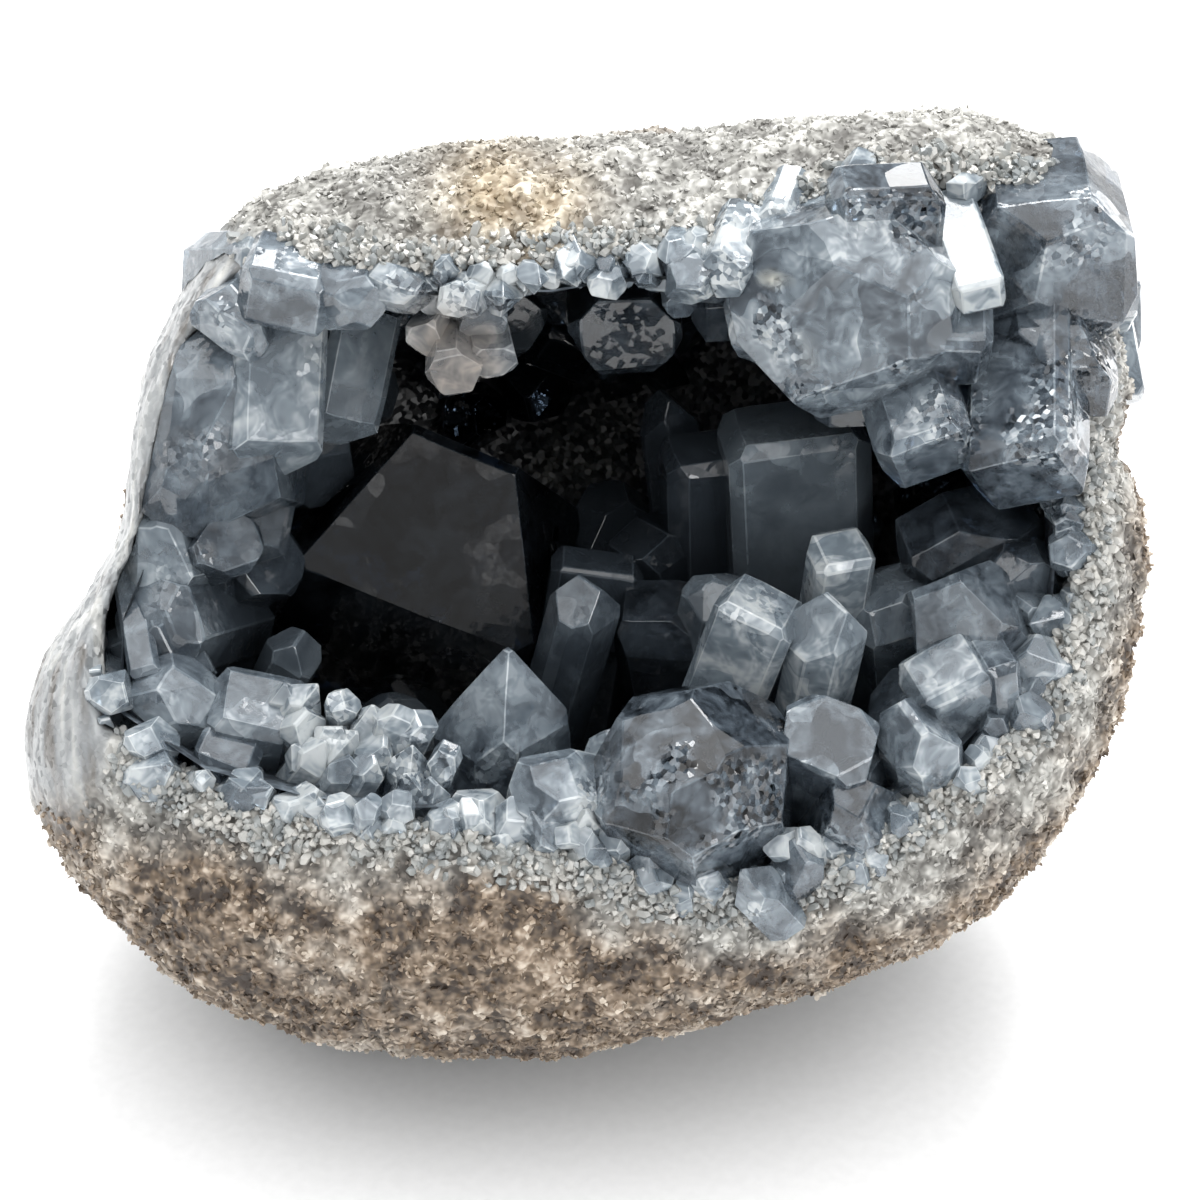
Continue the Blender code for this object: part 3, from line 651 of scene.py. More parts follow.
# Tints on and in the crystals: (across, up, out, radius in mm, colour)
TINTS = (
    (-22, 41, 38, 13, "#B9A898"),
    (29, 53.5, 51, 4, "#E2DAC0"),
    (34, 41, 52, 6, "#D5D5CF"),
)


def celestite_material():
    """Celestite, strontium sulphate grown slowly in open space: glassy, heavy, cool blue-grey.

    Faces deep in the hollow are clean, and painted shade darkens their colour the deeper they lie. Towards
    the rim they are frosted, and veils of tiny trapped bubbles and healed cracks turn the crystal milky. Cracked
    patches glitter from tilted facets. Painted glints lighten some of their cells and darken others, and the
    chamfered edges carry a painted highlight.
    """
    material = blank_material("clear_celestite")
    tree = material.node_tree
    place = add_node(tree, "ShaderNodeTexCoord").outputs["Object"]
    out_axis = turned(Vector((0, 0, 1)))
    out = add_node(tree, "ShaderNodeVectorMath", {0: place, 1: out_axis}, operation="DOT_PRODUCT")
    face_height = out_axis.dot(FACE_ORIGIN) * MM
    # How far out from the face a place lies, 0 deep in the hollow: it drives the frosting towards the rim and the
    # painted shade deeper in
    openness = add_node(tree, "ShaderNodeMapRange", {
        "Value": out.outputs["Value"], "From Min": face_height + 0.000, "From Max": face_height + 0.050,
    }).outputs["Result"]
    outside = add_node(tree, "ShaderNodeAttribute", attribute_name="outside").outputs["Fac"]
    openness = add_node(tree, "ShaderNodeMath", {0: openness, 1: outside}, operation="MAXIMUM").outputs[0]
    tone = add_node(tree, "ShaderNodeAttribute", attribute_name="tone").outputs["Fac"]
    # The chamfer faces, which carry the painted edge highlight
    painted_edge_highlight = add_node(tree, "ShaderNodeAttribute", attribute_name="painted_edge_highlight").outputs["Fac"]
    clouds = add_node(tree, "ShaderNodeTexNoise", {
        "Vector": place, "Scale": per_mm(14), "Detail": 2.0, "Roughness": 0.62,
    }).outputs["Fac"]
    crazed = add_node(tree, "ShaderNodeMapRange", {
        "Value": clouds, "From Min": 0.55, "From Max": 0.63,
    }).outputs["Result"]
    deep = add_node(tree, "ShaderNodeMath", {0: openness, 1: 2.0}, operation="POWER").outputs[0]
    crazed = add_node(tree, "ShaderNodeMath", {0: crazed, 1: deep}, operation="MULTIPLY").outputs[0]
    drusy = add_node(tree, "ShaderNodeAttribute", attribute_name="drusy").outputs["Fac"]
    splinter = add_node(tree, "ShaderNodeMath", {0: crazed, 1: 0.9, 2: 0.04}, operation="MULTIPLY_ADD").outputs[0]
    splinter = add_node(tree, "ShaderNodeMath", {0: drusy, 1: 0.9, 2: splinter}, operation="MULTIPLY_ADD").outputs[0]
    bends = add_node(tree, "ShaderNodeTexNoise", {"Vector": place, "Scale": per_mm(4), "Detail": 0.0})
    bent = add_node(tree, "ShaderNodeVectorMath", {
        0: bends.outputs["Color"], "Scale": 0.004,
    }, operation="SCALE").outputs[0]
    bent = add_node(tree, "ShaderNodeVectorMath", {0: place, 1: bent}, operation="ADD").outputs[0]
    normal, flats = broken_normal(tree, bent, 8.0, 0.16)
    normal, cells = broken_normal(tree, place, 0.9, splinter, normal)
    # Painted glints: in the cracked patches some cells are made lighter and others darker in the colour, standing in
    # for tiny faces that catch the light or miss it. The tilted cell normals above give the real glitter
    painted_glint = add_node(tree, "ShaderNodeVectorMath", {0: cells, 1: (0.6, 0.0, 0.0)}, operation="DOT_PRODUCT")
    painted_glint = add_node(tree, "ShaderNodeMath", {0: painted_glint.outputs["Value"], 1: crazed}, operation="MULTIPLY").outputs[0]
    veils = add_node(tree, "ShaderNodeTexNoise", {
        "Vector": bent, "Scale": per_mm(7), "Detail": 3.0, "Roughness": 0.75,
    }).outputs["Fac"]
    flat = add_node(tree, "ShaderNodeVectorMath", {0: flats, 1: (0.0, 0.16, 0.0)}, operation="DOT_PRODUCT").outputs[1]
    veils = add_node(tree, "ShaderNodeMath", {0: veils, 1: flat}, operation="ADD").outputs[0]
    milk = add_node(tree, "ShaderNodeMapRange", {
        "Value": veils, "From Min": 0.36, "From Max": 0.68, "To Min": 0.0, "To Max": 0.6,
    }).outputs["Result"]
    milk = add_node(tree, "ShaderNodeMath", {0: milk, 1: openness}, operation="MULTIPLY").outputs[0]
    milk = add_node(tree, "ShaderNodeMath", {0: openness, 1: 0.08, 2: milk}, operation="MULTIPLY_ADD").outputs[0]
    milk = add_node(tree, "ShaderNodeMath", {0: tone, 1: 0.55, 2: milk}, operation="MULTIPLY_ADD").outputs[0]
    # Painted highlight: the chamfer faces along the crystals' edges are made milkier in patches, standing in for
    # light caught along the edges
    painted_edge_highlight = add_node(tree, "ShaderNodeMath", {0: painted_edge_highlight, 1: clouds}, operation="MULTIPLY").outputs[0]
    milk = add_node(tree, "ShaderNodeMath", {0: painted_edge_highlight, 1: 0.25, 2: milk}, operation="MULTIPLY_ADD").outputs[0]
    milk = add_node(tree, "ShaderNodeMath", {0: milk, 1: painted_glint}, operation="ADD", use_clamp=True).outputs[0]
    colour = ramp(tree, milk, (0.0, "#5C6875"), (0.35, "#75828F"), (0.7, "#97A4AE"), (1.0, "#D2D8DA"))
    for across, up, out_by, radius, tint in TINTS:
        centre = upright(sight_place(across, up, out_by))
        away = add_node(tree, "ShaderNodeVectorMath", {0: bent, 1: centre}, operation="DISTANCE").outputs["Value"]
        share = add_node(tree, "ShaderNodeMapRange", {
            "Value": away, "From Min": radius * MM, "From Max": 0.4 * radius * MM,
        }).outputs["Result"]
        share = add_node(tree, "ShaderNodeMath", {0: share, 1: veils}, operation="MULTIPLY").outputs[0]
        colour = add_node(tree, "ShaderNodeMix", {0: share, 6: colour, 7: linear(tint)}, data_type="RGBA").outputs[2]
    # Painted shade: the colour is halved at the bottom of the hollow and comes up to full strength 25 mm out,
    # darkening the crystals and the lining where the hollow lies in shade
    painted_hollow_shade = add_node(tree, "ShaderNodeMapRange", {
        "Value": openness, "From Min": 0.0, "From Max": 0.5, "To Min": 0.5, "To Max": 1.0,
    }).outputs["Result"]
    colour = add_node(tree, "ShaderNodeVectorMath", {0: colour, "Scale": painted_hollow_shade}, operation="SCALE").outputs[0]
    clear = add_node(tree, "ShaderNodeMapRange", {
        "Value": milk, "From Min": 0.0, "From Max": 0.9, "To Min": 1.0, "To Max": 0.35,
    }).outputs["Result"]
    rough = add_node(tree, "ShaderNodeMath", {0: milk, 1: 0.15, 2: 0.01}, operation="MULTIPLY_ADD").outputs[0]
    rough = add_node(tree, "ShaderNodeMath", {0: drusy, 1: 0.4, 2: rough}, operation="MULTIPLY_ADD").outputs[0]
    shader = add_node(tree, "ShaderNodeBsdfPrincipled", {
        "Base Color": colour, "Roughness": rough, "IOR": 1.62, "Transmission Weight": clear, "Normal": normal,
    })
    depth = add_node(tree, "ShaderNodeVolumeAbsorption", {"Color": linear("#8496A8"), "Density": 60.0})
    add_node(tree, "ShaderNodeOutputMaterial", {
        "Surface": shader.outputs["BSDF"], "Volume": depth.outputs["Volume"],
    })
    return material


def frosted_druse_material():
    """Small celestite crystals along the rim: the same mineral, frosted and pale where it meets the rock."""
    material = blank_material("frosted_druse")
    tree = material.node_tree
    place = add_node(tree, "ShaderNodeTexCoord").outputs["Object"]
    tone = add_node(tree, "ShaderNodeAttribute", attribute_name="tone").outputs["Fac"]
    clouds = add_node(tree, "ShaderNodeTexNoise", {
        "Vector": place, "Scale": per_mm(7), "Detail": 1.0, "Roughness": 0.6,
    }).outputs["Fac"]
    mottle = add_node(tree, "ShaderNodeMath", {0: tone, 1: 0.5, 2: clouds}, operation="MULTIPLY_ADD").outputs[0]
    colour = ramp(tree, mottle, (0.3, "#858B8E"), (0.6, "#9CA09F"), (0.85, "#B4B4B0"), (1.0, "#CCCAC4"))
    shader = add_node(tree, "ShaderNodeBsdfPrincipled", {
        "Base Color": colour, "Roughness": 0.25, "IOR": 1.62, "Transmission Weight": 0.25,
    })
    add_node(tree, "ShaderNodeOutputMaterial", {"Surface": shader.outputs["BSDF"]})
    return material


def rock_material(name, pale_colours, stained_colours, loose):
    """Granular celestite with dolomite: sugary grains grown into each other, whitish where fresh at the rim and
    stained tan and brown by iron on the weathered outside."""
    material = blank_material(name)
    tree = material.node_tree
    place = add_node(tree, "ShaderNodeTexCoord").outputs["Object"]
    rim = add_node(tree, "ShaderNodeAttribute", attribute_name="rim").outputs["Fac"]
    stain = add_node(tree, "ShaderNodeAttribute", attribute_name="stain").outputs["Fac"]
    tone = add_node(tree, "ShaderNodeAttribute", attribute_name="tone").outputs["Fac"]
    blotches = add_node(tree, "ShaderNodeTexNoise", {
        "Vector": place, "Scale": per_mm(11), "Detail": 3.0, "Roughness": 0.7,
    }).outputs["Fac"]
    specks = add_node(tree, "ShaderNodeTexNoise", {
        "Vector": place, "Scale": per_mm(1.6), "Detail": 1.0, "Roughness": 0.75,
    }).outputs["Fac"]
    height = add_node(tree, "ShaderNodeAttribute", attribute_name="height").outputs["Fac"]
    mottle = add_node(tree, "ShaderNodeMath", {0: blotches, 1: specks}, operation="ADD").outputs[0]
    mottle = add_node(tree, "ShaderNodeMath", {0: tone, 1: 0.25, 2: mottle}, operation="MULTIPLY_ADD").outputs[0]
    # Painted shade: the low places of the relief are darkened in the colour and its knobs made paler, as light would
    # fall on them
    mottle = add_node(tree, "ShaderNodeMath", {0: height, 1: 1.0, 2: mottle}, operation="MULTIPLY_ADD").outputs[0]
    mottle = add_node(tree, "ShaderNodeMapRange", {
        "Value": mottle, "From Min": 0.72, "From Max": 1.5,
    }).outputs["Result"]
    pale = ramp(tree, mottle, *pale_colours)
    stained = ramp(tree, mottle, *stained_colours)
    fresh = add_node(tree, "ShaderNodeMath", {0: blotches, 1: 1.1, 2: rim}, operation="MULTIPLY_ADD").outputs[0]
    fresh = add_node(tree, "ShaderNodeMath", {0: fresh, 1: stain}, operation="SUBTRACT").outputs[0]
    fresh = add_node(tree, "ShaderNodeMapRange", {
        "Value": fresh, "From Min": 0.5, "From Max": 1.15,
    }).outputs["Result"]
    colour = add_node(tree, "ShaderNodeMix", {0: fresh, 6: stained, 7: pale}, data_type="RGBA").outputs[2]
    sand = add_node(tree, "ShaderNodeAttribute", attribute_name="sand").outputs["Fac"]
    sandy = ramp(tree, mottle, (0.1, "#7D6C53"), (0.45, "#A89980"), (0.7, "#C0B39B"), (1.0, "#D4C9B3"))
    colour = add_node(tree, "ShaderNodeMix", {0: sand, 6: colour, 7: sandy}, data_type="RGBA").outputs[2]
    rough = add_node(tree, "ShaderNodeMapRange", {
        "Value": specks, "From Min": 0.3, "From Max": 0.7, "To Min": 0.75, "To Max": 0.38,
    }).outputs["Result"]
    shader = add_node(tree, "ShaderNodeBsdfPrincipled", {"Base Color": colour, "Roughness": rough, "IOR": 1.6})
    add_node(tree, "ShaderNodeOutputMaterial", {"Surface": shader.outputs["BSDF"]})
    if loose:
        return material
    frosted = add_node(tree, "ShaderNodeAttribute", attribute_name="frost").outputs["Fac"]
    up_axis = turned(Vector((0, 1, 0)))
    along = add_node(tree, "ShaderNodeVectorMath", {0: place, 1: up_axis}, operation="DOT_PRODUCT").outputs["Value"]
    along = add_node(tree, "ShaderNodeVectorMath", {0: up_axis * -0.8, "Scale": along}, operation="SCALE").outputs[0]
    squeezed = add_node(tree, "ShaderNodeVectorMath", {0: place, 1: along}, operation="ADD").outputs[0]
    streaks = add_node(tree, "ShaderNodeTexNoise", {
        "Vector": squeezed, "Scale": per_mm(5), "Detail": 2.0, "Roughness": 0.65,
    }).outputs["Fac"]
    streaks = add_node(tree, "ShaderNodeMapRange", {
        "Value": streaks, "From Min": 0.3, "From Max": 0.7,
    }).outputs["Result"]
    slab = ramp(tree, streaks, (0.1, "#65625E"), (0.4, "#828587"), (0.65, "#9A9D9E"), (0.95, "#BDBDB9"))
    colour = add_node(tree, "ShaderNodeMix", {0: frosted, 6: colour, 7: slab}, data_type="RGBA").outputs[2]
    rough = add_node(tree, "ShaderNodeMix", {0: frosted, 2: rough, 3: 0.28}, data_type="FLOAT").outputs[0]
    normal, _ = broken_normal(tree, place, 1.0, 0.8)
    tree.links.new(colour, shader.inputs["Base Color"])
    tree.links.new(rough, shader.inputs["Roughness"])
    tree.links.new(normal, shader.inputs["Normal"])
    return material


PALE_STOPS = ((0.0, "#565450"), (0.35, "#8A8984"), (0.6, "#AFAEA9"), (0.9, "#CDCBC5"))
STAINED_STOPS = ((0.05, "#33281F"), (0.35, "#655543"), (0.6, "#938270"), (0.9, "#C2B5A4"))
GRAIN_PALE_STOPS = ((0.0, "#72706C"), (0.35, "#9C9B97"), (0.65, "#B9B8B3"), (1.0, "#D1CFC9"))
GRAIN_STAINED_STOPS = ((0.05, "#42352A"), (0.35, "#706050"), (0.6, "#998875"), (0.9, "#C4B8A8"))


# Meshes


def new_piece(name, mesh, material):
    made = bpy.data.objects.new(name, mesh)
    bpy.context.scene.collection.objects.link(made)
    mesh.materials.clear()
    mesh.materials.append(material)
    return made


def apply_modifiers(made):
    """Bakes an object's modifiers into a plain mesh."""
    bpy.context.view_layer.update()
    graph = bpy.context.evaluated_depsgraph_get()
    mesh = bpy.data.meshes.new_from_object(made.evaluated_get(graph))
    made.modifiers.clear()
    old = made.data
    made.data = mesh
    bpy.data.meshes.remove(old)


def merged_copy(node, name):
    """A copy of a CAD node's mesh, its loose triangles merged."""
    mesh = node.data.copy()
    mesh.name = name
    drawn = bmesh.new()
    drawn.from_mesh(mesh)
    bmesh.ops.remove_doubles(drawn, verts=drawn.verts, dist=1e-6)
    drawn.to_mesh(mesh)
    drawn.free()
    return mesh


def store_face_tone(mesh, values):
    tone = mesh.attributes.new("tone", "FLOAT", "FACE")
    tone.data.foreach_set("value", values)


# How milky or clear the crystals are by place: (across, up, radius, amount)
MILKY_SPOTS = (
    (-50, 39, 9, 0.5), (-38, 37, 8, 0.3), (-48, 50, 9, -0.3), (-65, 30, 5, 0.3), (-70, 3, 14, 0.4), (-40, -18, 14, 0.7), (-6, -28, 9, 0.1), (38, 9, 9, 0.5), (26, 4, 8, 0.4), (48, -4, 12, 0.2),
    (31, 29, 8, 0.6), (-22, 24, 10, -0.9), (41, 43, 8, 0.25), (68, 27, 16, -0.6), (14, -22, 8, -0.6),
    (72, 50, 10, -0.2), (45, 70, 6, -0.4), (61, 48, 5, 0.6), (-22, 43, 8, 0.6), (-66, -14, 10, 0.05),
)


def milkiness(crystal, chance):
    """How milky one crystal is, from 0 to 1, by where it stands and by chance."""
    across, up, _ = face_coordinates(np.array([FACE_TO_WORLD @ crystal.pose.translation]))
    amount = 0.36 + chance.uniform(-0.25, 0.25) + (0.35 if crystal.length == RIM_LENGTH else 0)
    for spot_across, spot_up, radius, more in MILKY_SPOTS:
        away = math.hypot(across[0] - spot_across, up[0] - spot_up) / radius
        amount += more * math.exp(-(away**2))
    return min(max(amount, 0.0), 1.0)


def crystal_shapes(sizes):
    """Each crystal as an object of its own in a collection, in the world."""
    chance = random.Random(SEED + 1)
    finish = random.Random(SEED + 2)
    shapes = bpy.data.collections.new("crystal_shapes")
    bpy.context.scene.collection.children.link(shapes)
    for crystal in all_crystals():
        drawn = bmesh.new()
        draw_crystal(drawn, crystal, chance, finish, finish.uniform(sizes.chamfer_least, sizes.chamfer_most))
        bmesh.ops.transform(drawn, matrix=FACE_TO_WORLD @ crystal.pose, verts=drawn.verts)
        bmesh.ops.recalc_face_normals(drawn, faces=drawn.faces)
        mesh = bpy.data.meshes.new("crystal")
        drawn.to_mesh(mesh)
        drawn.free()
        store_face_tone(mesh, [milkiness(crystal, finish)] * len(mesh.polygons))
        shapes.objects.link(bpy.data.objects.new("crystal", mesh))
    return shapes


def keep_largest(mesh):
    """Deletes every loose surface but the largest: slivers beyond the rock, and gaps sealed in between crystals."""
    drawn = bmesh.new()
    drawn.from_mesh(mesh)
    waiting = set(drawn.verts)
    surfaces = []
    while waiting:
        surface = [waiting.pop()]
        for vertex in surface:
            near = {edge.other_vert(vertex) for edge in vertex.link_edges} & waiting
            waiting -= near
            surface.extend(near)
        surfaces.append(surface)
    surfaces.sort(key=len)
    for surface in surfaces[:-1]:
        bmesh.ops.delete(drawn, geom=surface, context="VERTS")
    drawn.to_mesh(mesh)
    drawn.free()


def lining_mesh():
    """The crystalline lining between the hollow's wall and the crystals, thinning out towards the rim."""
    drawn = bmesh.new()
    outer = draw_hollow(drawn, closed=False, inset=-LINING_SINK)
    inner = draw_hollow(drawn, closed=False, inset=LINING_THICKNESS)
    for side in range(WALL_SIDES):
        after = (side + 1) % WALL_SIDES
        inner[side].co = inner[side].co.lerp(outer[side].co, 0.8) - Vector((0, 0, 1.0))
        drawn.faces.new((outer[side], outer[after], inner[after], inner[side]))
    bmesh.ops.transform(drawn, matrix=FACE_TO_WORLD, verts=drawn.verts)
    bmesh.ops.recalc_face_normals(drawn, faces=drawn.faces)
    mesh = bpy.data.meshes.new("lining")
    drawn.to_mesh(mesh)
    drawn.free()
    store_face_tone(mesh, [0.1] * len(mesh.polygons))
    drusy = mesh.attributes.new("drusy", "FLOAT", "FACE")
    drusy.data.foreach_set("value", [1.0] * len(mesh.polygons))
    return mesh


def rim_polyline():
    return np.array([upright(wall_place(1.0, math.radians(step * 3))) for step in range(120)])


def face_coordinates(points):
    """World points, in metres, as (across, up) seen from the photograph's side, and out, in millimetres."""
    local = points / MM - np.array(FACE_ORIGIN)
    sine, cosine = math.sin(FACE_TILT), math.cos(FACE_TILT)
    up = local[:, 1] * sine + local[:, 2] * cosine
    out = -local[:, 1] * cosine + local[:, 2] * sine
    spread = SIGHT_DISTANCE / (SIGHT_DISTANCE - out)
    return local[:, 0] * spread, up * spread, out


# Stains that the outside carries: (across, up, radius, strength)
STAINS = (
    (-8, 55, 5, 0.5), (-24, 60, 4, 0.3), (82, 12, 9, 0.4), (80, -8, 9, 0.4),
    (-12, -50, 9, 0.8), (-18, -46, 6, 0.7), (-44, -36, 9, 0.6), (8, -52, 6, 0.5), (-30, -44, 8, 0.5),
    (60, -30, 8, 0.4), (-62, -44, 8, 0.5), (36, -50, 6, 0.4), (-5, -60, 9, 0.4), (72, -22, 5, 0.4),
)


# Where fine tan sand clings to the top, in the same way
SAND = ((-17, 65, 9, 1.0), (-9, 63, 8, 0.9), (-10, 56, 6, 0.6))


def store_weathering(mesh):
    """Stores how near each vertex is to the rim, how stained it is, and whether grains grow on it."""
    points = np.zeros(len(mesh.vertices) * 3)
    mesh.vertices.foreach_get("co", points)
    points = points.reshape(-1, 3)
    rim = rim_polyline()
    nearest = np.full(len(points), 1e9)
    for place in rim:
        nearest = np.minimum(nearest, np.linalg.norm(points - place, axis=1))
    nearest /= MM
    across, up, out = face_coordinates(points)
    from_top = np.clip((up - 40) / 20, 0, 1) * np.clip((out + 25) / 40, 0, 1)
    band = RIM_BAND + 5 * np.clip((across - 20) / 30, 0, 1)
    near = np.clip(1.25 - nearest / band, 0, 1)
    stain, sand = np.zeros(len(points)), np.zeros(len(points))
    for spots, amount in ((STAINS, stain), (SAND, sand)):
        for centre_across, centre_up, radius, strength in spots:
            away = np.hypot(across - centre_across, up - centre_up) / radius
            np.maximum(amount, strength * np.exp(-(away**2)) * (out > -10), out=amount)
    drawn = bmesh.new()
    draw_hollow(drawn, closed=False)
    bmesh.ops.transform(drawn, matrix=FACE_TO_WORLD, verts=drawn.verts)
    wall = BVHTree.FromBMesh(drawn)
    drawn.free()
    from_wall = np.array([wall.find_nearest(Vector(point))[3] for point in points]) / MM
    outside = (from_wall > 1.6) & (points[:, 2] > 0.0015)
    frosted = frost(across, up, out)
    values = {"rim": np.maximum(near, from_top), "stain": stain, "sand": sand, "frost": frosted}
    values["cover"] = outside * np.clip(1 - 1.4 * frosted, 0, 1)
    for name, value in values.items():
        attribute = mesh.attributes.new(name, "FLOAT", "POINT")
        attribute.data.foreach_set("value", value)


GRAIN_KINDS = 7


def grain_shapes(kinds, chance):
    """Small angular grains, each the hull of a few points, in a collection of their own."""
    shapes = bpy.data.collections.new("grain_shapes")
    for _ in range(kinds):
        drawn = bmesh.new()
        for _ in range(8):
            way = scatter(chance, 1.0).normalized()
            drawn.verts.new(Vector((way.x, way.y * 0.8, way.z * 0.62)) * 0.5)
        hull = bmesh.ops.convex_hull(drawn, input=drawn.verts)
        bmesh.ops.delete(drawn, geom=list(set(hull["geom_interior"] + hull["geom_unused"])), context="VERTS")
        bmesh.ops.recalc_face_normals(drawn, faces=drawn.faces)
        mesh = bpy.data.meshes.new("grain")
        drawn.to_mesh(mesh)
        drawn.free()
        shapes.objects.link(bpy.data.objects.new("grain", mesh))
    return shapes


def needle_shapes(kinds, chance):
    """Short prisms with pointed ends, standing on the origin, in a collection of their own."""
    shapes = bpy.data.collections.new("needle_shapes")
    for _ in range(kinds):
        drawn = bmesh.new()
        crystal = Grown(Matrix(), chance.uniform(0.5, 0.8), chance.uniform(0.4, 0.6), 1.4, FORMS["chisel"])
        bmesh.ops.create_cube(drawn, size=1.0, matrix=Matrix.Translation((0, 0, -0.7)) @ Matrix.Diagonal(
            (crystal.width, crystal.thickness, crystal.length, 1)
        ))
        for side in range(4):
            turn = side * math.pi / 2 + chance.uniform(-0.5, 0.5)
            slope = math.radians(chance.uniform(42, 66))
            normal = Vector((math.cos(turn) * math.sin(slope), math.sin(turn) * math.sin(slope), math.cos(slope)))
            cut_off(drawn, normal, chance.uniform(0.0, 0.08))
        bmesh.ops.translate(drawn, verts=drawn.verts, vec=(0, 0, 0.8))
        bmesh.ops.recalc_face_normals(drawn, faces=drawn.faces)
        mesh = bpy.data.meshes.new("needle")
        drawn.to_mesh(mesh)
        drawn.free()
        shapes.objects.link(bpy.data.objects.new("needle", mesh))
    return shapes


def clear_shapes(shapes):
    for shape in list(shapes.objects):
        mesh = shape.data
        bpy.data.objects.remove(shape)
        bpy.data.meshes.remove(mesh)
    bpy.data.collections.remove(shapes)


SCATTER_INPUTS = (
    ("Density", "NodeSocketFloat"), ("Least size", "NodeSocketFloat"), ("Most size", "NodeSocketFloat"),
    ("Tilt", "NodeSocketFloat"), ("Seed", "NodeSocketInt"), ("Shapes", "NodeSocketCollection"),
    ("Material", "NodeSocketMaterial"),
)


def scatter_tree():
    """A tree that strews shapes over a surface, thickest where its attribute cover is 1."""
    tree = bpy.data.node_groups.new("strewn_over_surface", "GeometryNodeTree")
    tree.interface.new_socket("Geometry", in_out="INPUT", socket_type="NodeSocketGeometry")
    tree.interface.new_socket("Geometry", in_out="OUTPUT", socket_type="NodeSocketGeometry")
    for name, kind in SCATTER_INPUTS:
        tree.interface.new_socket(name, in_out="INPUT", socket_type=kind)
    entry = add_node(tree, "NodeGroupInput").outputs
    cover = add_node(tree, "GeometryNodeInputNamedAttribute", {"Name": "cover"}, data_type="FLOAT")
    density = add_node(tree, "ShaderNodeMath", {0: entry["Density"], 1: cover.outputs[0]}, operation="MULTIPLY")
    points = add_node(tree, "GeometryNodeDistributePointsOnFaces", {
        "Mesh": entry["Geometry"], "Density": density.outputs[0], "Seed": entry["Seed"],
    })
    tilt = add_node(tree, "ShaderNodeCombineXYZ", {"X": entry["Tilt"], "Y": entry["Tilt"], "Z": math.pi})
    back = add_node(tree, "ShaderNodeVectorMath", {0: tilt.outputs[0], "Scale": -1.0}, operation="SCALE")
    turn = add_node(tree, "FunctionNodeRandomValue", {
        "Min": back.outputs[0], "Max": tilt.outputs[0], "Seed": entry["Seed"],
    }, data_type="FLOAT_VECTOR")
    turn = add_node(tree, "FunctionNodeEulerToRotation", {0: turn.outputs["Value"]})
    turned_to = add_node(tree, "FunctionNodeRotateRotation", {
        0: points.outputs["Rotation"], 1: turn.outputs[0],
    }, rotation_space="LOCAL")
    size = add_node(tree, "FunctionNodeRandomValue", {
        2: entry["Least size"], 3: entry["Most size"], "Seed": 7,
    }, data_type="FLOAT")
    shapes = add_node(tree, "GeometryNodeCollectionInfo", {
        "Collection": entry["Shapes"], "Separate Children": True, "Reset Children": True,
    })
    placed = add_node(tree, "GeometryNodeInstanceOnPoints", {
        "Points": points.outputs["Points"], "Instance": shapes.outputs[0], "Pick Instance": True,
        "Rotation": turned_to.outputs[0], "Scale": size.outputs[1],
    })
    tone = add_node(tree, "FunctionNodeRandomValue", {2: 0.0, 3: 1.0, "Seed": 11}, data_type="FLOAT")
    toned = add_node(tree, "GeometryNodeStoreNamedAttribute", {
        "Geometry": placed.outputs[0], "Name": "tone", "Value": tone.outputs[1],
    }, data_type="FLOAT", domain="INSTANCE")
    real = add_node(tree, "GeometryNodeRealizeInstances", {"Geometry": toned.outputs[0]})
    dressed = add_node(tree, "GeometryNodeSetMaterial", {
        "Geometry": real.outputs[0], "Material": entry["Material"],
    })
    add_node(tree, "NodeGroupOutput", {"Geometry": dressed.outputs[0]})
    return tree


def strewn(name, surface, material, **inputs):
    """A piece of shapes strewn over a surface mesh."""
    piece = new_piece(name, surface.copy(), material)
    modifier = piece.modifiers.new("strewn", "NODES")
    modifier.node_group = bpy.data.node_groups.get("strewn_over_surface") or scatter_tree()
    inputs["Material"] = material
    for item in modifier.node_group.interface.items_tree:
        key = item.name.replace(" ", "_")
        if item.in_out == "INPUT" and key in inputs:
            modifier[item.identifier] = inputs[key]
    apply_modifiers(piece)
    piece.data.materials.clear()
    piece.data.materials.append(material)
    print(name, len(piece.data.polygons))
    return piece


# Where the outer wall is one frosted slab of crystal, without grains: a path of (across, up), and its half width
FROSTED_PATH = ((-88, -24), (-80, -6), (-74, 8), (-72, 26), (-68, 40), (-62, 49))
FROSTED_WIDTH = 9.0


def frost(across, up, out):
    """How far each place lies in the frosted slab, from 0 to 1."""
    nearest = np.full(len(across), 1e9)
    for start, end in zip(FROSTED_PATH, FROSTED_PATH[1:]):
        start, run = np.array(start), np.array(end) - np.array(start)
        share = ((across - start[0]) * run[0] + (up - start[1]) * run[1]) / run.dot(run)
        share = np.clip(share, 0, 1)
        away = np.hypot(across - start[0] - share * run[0], up - start[1] - share * run[1])
        nearest = np.minimum(nearest, away)
    return np.clip(1.6 - nearest / FROSTED_WIDTH, 0, 1) * np.clip((out + 12) / 15, 0, 1)


class RockOperator(bpy.types.Operator):
    """Makes the granular boulder round the hollow."""

    bl_idname = "geode.rock"
    bl_label = "Granular rock"

    def execute(self, context):
        sizes = context.scene.geode_rock
        mesh = merged_copy(ROCK_NODE, "granular_rock")
        material = rock_material("granular_rock", PALE_STOPS, STAINED_STOPS, loose=False)
        rock = new_piece("granular_rock", mesh, material)
        remesh = rock.modifiers.new("remesh", "REMESH")
        remesh.mode = "VOXEL"
        remesh.voxel_size = sizes.voxel
        remesh.use_smooth_shade = True
        smooth = rock.modifiers.new("smooth", "SMOOTH")
        smooth.iterations = 4
        apply_modifiers(rock)
        store_weathering(rock.data)
        roughen(rock, sizes)
        for vertex in rock.data.vertices:
            vertex.co.z = max(vertex.co.z, 0.0)
        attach(rock, "root")
        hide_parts("rock_shell")
        return {"FINISHED"}


